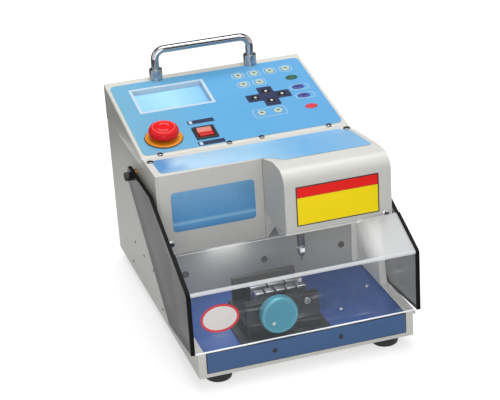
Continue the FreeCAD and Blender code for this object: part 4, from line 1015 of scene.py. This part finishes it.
for face in capWork.faces:  # the rear half is painted paler and glows a little: a painted highlight
    face.material_index = 1 if face.calc_center_median().y > rocker["pale"] * mm else 0
capWork.transform(rockerPlace)
rockerCap = settle("rockerCap", capWork, "power_rocker", [rockerRed, rockerHighlight])
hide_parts("power_rocker")
pinProfile = [(0, -12.2), (1.3, -12.2), (1.5, -12), (1.5, 12), (1.3, 12.2), (0, 12.2)]
pinPlace = onPanel(rocker["x"], rocker["row"], rocker["pin"]) @ Matrix.Rotation(math.pi / 2, 4, "Y")
settle("rockerPin", turned(pinProfile, pinPlace, steps=20), "power_rocker", blackPlastic)

overPanel = {"film": 0.6, "line": 0.8, "strip": 0.9, "top": 1.0}  # heights of prints over the sheet, mm
labelStrips = {"upper": (-42.5, 65.5), "lower": (-43.5, 11.5)}
labelSize = {"wide": 36, "tall": 9, "mark": 4.4, "markTall": 7, "inset": 4, "low": 0.85}
wide, tall = labelSize["wide"], labelSize["tall"]
for name, (x, row) in labelStrips.items():
    stripRim = roundRect(x, row, wide, tall, radius=1)
    stripWork = plate([stripRim], overPanel["film"], overPanel["strip"], panelPlace, edge=0.08)
    settle(name + "Strip", stripWork, "housing", navyPrint)
    markX = x - wide / 2 + labelSize["inset"]
    markRim = roundRect(markX, row, labelSize["mark"], labelSize["markTall"], radius=0.6)
    markWork = plate([markRim], labelSize["low"], overPanel["top"], panelPlace, edge=0.05)
    settle(name + "Mark", markWork, "housing", palePrint)

keyProfile = [
    (0, -3.6), (7, -3.6), (7, -2.8), (6, -2.8), (6, 1.2), (5.6, 1.65), (5.0, 1.8), (4.3, 1.72), (0, 1.6),
]
roundKeys = {
    "menu_key_1": (41, 165), "menu_key_2": (64, 165), "menu_key_3": (87, 165), "menu_key_4": (110, 165),
    "menu_key_5": (41, 140), "menu_key_6": (64, 140), "edit_key_1": (41, 60), "edit_key_2": (64, 60),
    "arrow_key_left": (45, 100), "arrow_key_right": (83, 100),
    "arrow_key_up": (64, 112.7), "arrow_key_down": (64, 87.3),
}
ovalKeys = {
    "start_key": (110, 138, keyGreen), "zero_key": (110, 111, keyViolet),
    "light_key": (110, 87, keyViolet), "cancel_key": (110, 57, keyRed),
}
ovalSqueeze = (8.5 / 6, 5.5 / 6)  # half sizes of an oval key over a round key's radius, mm
keyMark = {
    "dot": 1.9, "dotThick": 0.3, "wide": 4.6, "ovalWide": 7, "tall": 3.2, "corner": 1.2, "turn": -0.5,
    "thick": 0.35, "top": 1.85,
}


def keyCoreWork(wide, place):
    coreRim = roundRect(0, 0, wide, keyMark["tall"], keyMark["corner"])
    return plate([coreRim], keyMark["top"] - keyMark["thick"], keyMark["top"], place, edge=0.1)


for name, (x, row) in roundKeys.items():
    keyPlace = onPanel(x, row)
    dark = name.startswith("arrow")
    capWork = turned(keyProfile, keyPlace, steps=40)
    cap = settle(name + "Cap", capWork, name, keyBlack if dark else keyPale)
    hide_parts(name)
    if dark:
        dotRim = ringPoints(0, 0, keyMark["dot"], steps=20)
        dotLow = keyMark["top"] - keyMark["dotThick"]
        dot = plate([dotRim], dotLow, keyMark["top"], keyPlace, edge=0.05)
        settle(name + "Mark", dot, name, keyDot)
    else:
        corePlace = keyPlace @ Matrix.Rotation(keyMark["turn"], 4, "Z")
        settle(name + "Mark", keyCoreWork(keyMark["wide"], corePlace), name, keyCore)
for name, (x, row, keyTint) in ovalKeys.items():
    keyPlace = onPanel(x, row)
    capWork = turned(keyProfile, keyPlace, steps=48, squeeze=ovalSqueeze)
    cap = settle(name + "Cap", capWork, name, keyTint)
    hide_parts(name)
    if name != "cancel_key":
        core = keyCoreWork(keyMark["ovalWide"], keyPlace)
        settle(name + "Mark", core, name, keyCore if name == "start_key" else navyPrint)

haloLine = 0.9
# x, row, width, height, corner outside, corner inside
haloSizes = [(*spot, 18, 16, 5, 4.1) for name, spot in roundKeys.items() if name.startswith("menu")]
haloSizes += [(52.5, 60, 46, 22, 4, 3.2), (112, 111, 27, 15, 6, 5.2), (112, 87, 27, 15, 6, 5.2)]
halos = []
for x, row, wide, tall, corner, innerCorner in haloSizes:
    outer = roundRect(x, row, wide, tall, corner)
    inner = roundRect(x, row, wide - haloLine * 2, tall - haloLine * 2, innerCorner)
    halos.append(plate([outer, inner], overPanel["film"], overPanel["line"], panelPlace, edge=0.05))
settle("keyHalos", joined(halos), "housing", palePrint)

pad = {"x": 64, "row": 100, "wide": 31, "tall": 25, "arm": 10.5, "armTall": 9.2, "corner": 2.5, "hole": 6.3}
padPoints = crossPoints(pad["wide"], pad["tall"], pad["arm"], pad["armTall"])
padRim = roundCorners([(pad["x"] + across, pad["row"] + up) for across, up in padPoints], pad["corner"])
padKeys = [roundKeys["arrow_key_" + name] for name in ("left", "right", "up", "down")]
padHoles = [ringPoints(x, row, pad["hole"]) for x, row in padKeys]
padWork = plate([padRim] + padHoles, overPanel["film"], overPanel["top"], panelPlace, edge=0.1)
settle("arrowPad", padWork, "housing", navyPrint)
print("panel done")


# vise, knob and spindle

viseBody = {"edge": 2.0, "foot": 46}


def viseOuter(line):
    return lineMiddle(line).z > viseBody["foot"]


softened("vise_body", viseBody["edge"], viseIron, pick=viseOuter)

jaw = {
    "left": -52, "right": 16, "front": -165, "rear": -153, "low": 59.9, "waist": 80, "top": 92,
    "fingers": 5, "gap": 1.2, "back": 1, "sink": 1,
}
low = (jaw["left"], jaw["front"], jaw["low"])
high = (jaw["right"], jaw["rear"], jaw["waist"])
jawParts = [block(low, high, edge=0.6)]
fingerWide = (jaw["right"] - jaw["left"]) / jaw["fingers"]
for number in range(jaw["fingers"]):
    start = jaw["left"] + fingerWide * number
    low = (start + jaw["gap"], jaw["front"] + jaw["back"], jaw["waist"] - jaw["sink"])
    high = (start + fingerWide - jaw["gap"], jaw["rear"], jaw["top"])
    jawParts.append(block(low, high, edge=0.7))
jawPiece = settle("slidingJaw", joined(jawParts), "vise_jaw", brightSteel)
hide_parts("vise_jaw")

jawFace = {"starts": (-51.4, -28.4, -5.4), "wide": 21, "front": -145.5, "rear": -136, "low": 62, "top": 92.3}
faces = []
for start in jawFace["starts"]:
    low = (start, jawFace["front"], jawFace["low"])
    high = (start + jawFace["wide"], jawFace["rear"], jawFace["top"])
    faces.append(block(low, high, edge=0.4))
settle("fixedJawFaces", joined(faces), "x_carriage", brightSteel)

clampKnob = {"x": -32, "z": 76, "back": -189, "radius": 24, "length": 13, "rim": 4.4}
clampPin = {"left": 8.6, "down": 8.4}  # from the knob's middle
clampPlace = facing((0, -1, 0), clampKnob["x"], clampKnob["back"], clampKnob["z"])
radius, length = clampKnob["radius"], clampKnob["length"]
clampProfile = [
    (0, -23.7), (4.6, -23.7), (5, -23.3), (5, -3.7), (8.6, -3.7), (9, -3.3), (9, 0),
    (radius - 1.4, 0), (radius - 0.3, 0.5), (radius, 1.4), (radius, length - 3.2),
    (radius - 0.5, length - 1.6), (radius - 1.6, length - 0.5), (radius - 3, length),
    (radius - 4.2, length - 0.3), (radius - 5, length - 0.5), (0, length - 0.5),
]
clampWork = turned(clampProfile, clampPlace, steps=72)
for face in clampWork.faces:
    middle = face.calc_center_median() / mm
    away = math.hypot(middle.x - clampKnob["x"], middle.z - clampKnob["z"])
    face.material_index = 1 if away > radius - clampKnob["rim"] else 0
knobPiece = settle("clampKnob", clampWork, "vise_knob", [knobCyan, knobEdge])
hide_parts("vise_knob")
pinProfile = [(0, length - 1), (2.2, length - 1), (2.2, length - 0.1), (1.6, length + 0.4), (0, length + 0.6)]
pinPlace = facing(
    (0, -1, 0), clampKnob["x"] - clampPin["left"], clampKnob["back"], clampKnob["z"] - clampPin["down"]
)
settle("knobPin", turned(pinProfile, pinPlace, steps=24), "vise_knob", stickerWhite)

viseBolt = (8, -185, 82)
boltProfile = [(0, 0), (4.6, 0), (4.6, 2.4), (4.1, 3.0), (2.6, 3.0), (2.4, 1.4), (0, 1.4)]
boltWork = turned(boltProfile, facing((0, -1, 0), *viseBolt), steps=30)
settle("viseBolt", boltWork, "x_carriage", darkChrome)
trayScrews = ((63.4, -152.7, 42), (116.8, -107.2, 42))
trayHeads = [turned(screwKinds["stud"], facing((0, 0, 1), *spot), steps=24) for spot in trayScrews]
settle("trayScrews", joined(trayHeads), "housing", chrome)

spindle = {"x": 24, "y": -125}
spindlePlace = Matrix.Translation((spindle["x"] * mm, spindle["y"] * mm, 0))
noseProfile = [
    (0, 107), (0.5, 107), (0.9, 108.5), (1.4, 109.2), (1.4, 113), (2.6, 113), (3.4, 114.5), (4.4, 117.2),
    (5, 119), (5, 126), (4.6, 126.6), (4.6, 129), (5, 129.6), (5, 182.4), (0, 182.4),
]
noseWork = turned(noseProfile, spindlePlace, steps=40)
spindlePiece = settle("spindleNose", noseWork, "spindle", darkChrome)
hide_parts("spindle")
nutProfile = [(3.0, 118.6), (4.9, 118.6), (5.9, 119.6), (5.9, 125.2), (5.4, 126), (4.8, 126)]
nutWork = turned(nutProfile, spindlePlace, steps=6)
settle("colletNut", nutWork, "spindle", chrome, sharp=25)
print("vise and spindle done")


# handle, inlet and the pieces inside

insidePieces = (
    (brightSteel, ("y_rails", "x_screw", "y_screw", "z_rails", "z_screw")),
    (tableAlloy, ("y_saddle", "z_carriage")),
    (motorBlack, ("x_motor", "spindle_motor", "axis_motors")),
    (blackPlastic, ("display_module",)),
    (boardGreen, ("electronics",)),
)
for material, names in insidePieces:
    for name in names:
        dressNode(name, material)
carryBar = {"radius": 5.39, "bend": 14.0, "sides": 40, "turns": 12}


def barPath(half, foot, crown):
    # middle of the bent bar from foot to foot: x, z and the angle it runs at, mm
    bend = carryBar["bend"]
    left = [(-half, foot, math.pi / 2)]
    for step in range(carryBar["turns"] + 1):
        angle = math.pi / 2 * (1 - step / carryBar["turns"])
        left.append((-half + bend * (1 - math.sin(angle)), crown - bend * (1 - math.cos(angle)), angle))
    return left + [(-x, z, -angle) for x, z, angle in reversed(left)]


def bentBar(node):
    corners = [Vector(corner) / mm for corner in node.bound_box]
    radius, sides = carryBar["radius"], carryBar["sides"]
    half = max(corner.x for corner in corners) - radius
    middle = (min(corner.y for corner in corners) + max(corner.y for corner in corners)) / 2
    foot, crown = min(corner.z for corner in corners), max(corner.z for corner in corners) - radius
    work = bmesh.new()
    rings = []
    for x, z, angle in barPath(half, foot, crown):
        ring = []
        for number in range(sides):
            turn = 2 * math.pi * number / sides
            out, side = radius * math.cos(turn), radius * math.sin(turn)
            spot = Vector((x - out * math.sin(angle), middle + side, z + out * math.cos(angle)))
            ring.append(work.verts.new(spot * mm))
        rings.append(ring)
    for first, second in zip(rings, rings[1:]):
        for number in range(sides):
            after = (number + 1) % sides
            work.faces.new((first[number], first[after], second[after], second[number]))
    work.faces.new(rings[0])
    work.faces.new(list(reversed(rings[-1])))
    return work


bar = settle("carryBar", bentBar(nodes["carry_handle"]), "housing", handleChrome)
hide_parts("carry_handle")
inletPins = {"x": (-87, -80, -73), "half": 1.05, "front": 192.9, "rear": 203.1, "low": 87.95, "top": 92.05}
pins = []
for x in inletPins["x"]:
    low = (x - inletPins["half"], inletPins["front"], inletPins["low"])
    high = (x + inletPins["half"], inletPins["rear"], inletPins["top"])
    pins.append(block(low, high, edge=0.3, segments=2))
settle("inletPins", joined(pins), "housing", brass)
print("handle and inlet done")


# camera, light and floor

camera = {
    "place": (-0.55239, -1.88662, 1.00953), "right": (0.95081628, -0.30413573, -0.05873541),
    "ahead": (0.25612082, 0.87856432, -0.4031462), "lens": 117.84, "sensor": 36,
}
lensData = bpy.data.cameras.new("photoCamera")
lensData.lens = camera["lens"]
lensData.sensor_width = camera["sensor"]
lensData.sensor_fit = "HORIZONTAL"
cameraPiece = addObject("photoCamera", lensData)
right = Vector(camera["right"]).normalized()
ahead = Vector(camera["ahead"]).normalized()
upward = right.cross(ahead).normalized()
turn = Matrix((right, upward, -ahead)).transposed().to_4x4()
cameraPiece.matrix_world = Matrix.Translation(camera["place"]) @ turn
bpy.context.scene.camera = cameraPiece

lamps = {
    "key": {"place": (1.1, -1.3, 1.7), "size": 1.0, "power": 7, "aim": (0, 0, 0.15)},
    "front": {"place": (-0.45, -2.3, 0.9), "size": 1.5, "power": 21, "aim": (0, 0, 0.15)},
    "left": {"place": (-1.6, -0.6, 0.8), "size": 1.0, "power": 1.5, "aim": (0, 0, 0.15)},
    "fill": {"place": (-0.42, -0.72, 0.26), "size": 0.35, "power": 0.6, "aim": (-0.02, -0.1, 0.18)},
    "top": {"place": (0.1, 0.3, 1.9), "size": 1.4, "power": 33, "aim": (0, 0, 0.2)},
    "bay": {"place": (-0.052, -0.053, 0.109), "size": 0.05, "power": 0.032, "aim": (-0.052, -0.04, 0.06)},
    "jaw": {"place": (0.085, -0.125, 0.147), "size": 0.04, "power": 0.045, "aim": (0.14, -0.115, 0.095)},
    "rear": {"place": (0.6, 2.2, 1.1), "size": 1.2, "power": 9, "aim": (0, 0, 0.15)},
}
for name, lamp in lamps.items():
    data = bpy.data.lights.new(name + "Lamp", "AREA")
    data.energy = lamp["power"]
    data.size = lamp["size"]
    lampPiece = addObject(name + "Lamp", data)
    lampPiece.location = lamp["place"]
    lampPiece.visible_camera = False
    aim = Vector(lamp["aim"]) - Vector(lamp["place"])
    lampPiece.rotation_euler = aim.to_track_quat("-Z", "Y").to_euler()


def shownRays(tree):  # 1 for rays that see the background directly, in metal or through clear sheet
    path = tree.nodes.new("ShaderNodeLightPath")
    first = sums(tree, "MAXIMUM", path.outputs["Is Camera Ray"], path.outputs["Is Glossy Ray"])
    return sums(tree, "MAXIMUM", first, path.outputs["Is Transmission Ray"])


world = bpy.data.worlds.new("studio")
bpy.context.scene.world = world
world.use_nodes = True
air = world.node_tree
skyLight = 0.2
air.nodes["Background"].inputs["Color"].default_value = (1, 1, 1, 1)
air.links.new(ramped(air, shownRays(air), 0, 1, skyLight, 1.0), air.nodes["Background"].inputs["Strength"])

floorLook = {
    "color": (186, 186, 186), "rough": 0.8, "gloss": 0.1, "lift": 0.62, "near": 0.7, "far": 3.0, "size": 8,
}
floorMaterial, floorTree, floorShader = newMaterial("paleFloor")
floorShader.inputs["Base Color"].default_value = seen(floorLook["color"])
floorShader.inputs["Roughness"].default_value = floorLook["rough"]
floorShader.inputs["Specular IOR Level"].default_value = floorLook["gloss"]
floorShader.inputs["Emission Color"].default_value = (1, 1, 1, 1)
reach = floorTree.nodes.new("ShaderNodeVectorMath")  # the floor whitens away from the machine
reach.operation = "LENGTH"
floorTree.links.new(objectSpace(floorTree), reach.inputs[0])
near, far, lift = floorLook["near"], floorLook["far"], floorLook["lift"]
whitening = ramped(floorTree, reach.outputs["Value"], near, far, lift, 1.0)
shown = sums(floorTree, "MULTIPLY", shownRays(floorTree), whitening)
floorTree.links.new(shown, floorShader.inputs["Emission Strength"])
floorWork = bmesh.new()
bmesh.ops.create_grid(floorWork, x_segments=1, y_segments=1, size=floorLook["size"])
floor = addObject("floor", meshFrom("floor", floorWork))
floor.data.materials.append(floorMaterial)

# dark flags that only the gloss of metal and film sees; light and camera pass through them
flags = {  # two opposite corners of each upright or lying sheet, metres
    "frontFlag": ((-3.0, -3.6, 0.0), (3.6, -3.6, 2.9)),
    "lowFlag": ((-1.2, 0.62, 0.0), (1.4, 0.62, 0.55)),
    "highFlag": ((-0.8, 0.28, 0.9), (0.9, 1.3, 0.9)),
    "rearFlag": ((-3.0, 3.0, 0.1), (4.0, 3.0, 5.6)),
    "leftFlag": ((-1.9, -0.8, 0.004), (-0.3, 0.8, 0.004)),
    "rightFlag": ((0.3, -0.8, 0.004), (1.9, 0.8, 0.004)),
}
flagMaterial, flagTree, flagShader = newMaterial("darkFlag")
flagShader.inputs["Base Color"].default_value = (0.14, 0.14, 0.14, 1)
flagShader.inputs["Specular IOR Level"].default_value = 0.0
rayKind = flagTree.nodes.new("ShaderNodeLightPath")
flagTree.links.new(rayKind.outputs["Is Glossy Ray"], flagShader.inputs["Alpha"])
for name, (low, high) in flags.items():
    corners = (low, (high[0], low[1], low[2]), high, (low[0], high[1], high[2]))
    flagWork = bmesh.new()
    flagWork.faces.new([flagWork.verts.new(corner) for corner in corners])
    flagPiece = addObject(name, meshFrom(name, flagWork))
    flagPiece.data.materials.append(flagMaterial)
bpy.context.scene.view_settings.view_transform = "Standard"
print("stage done")
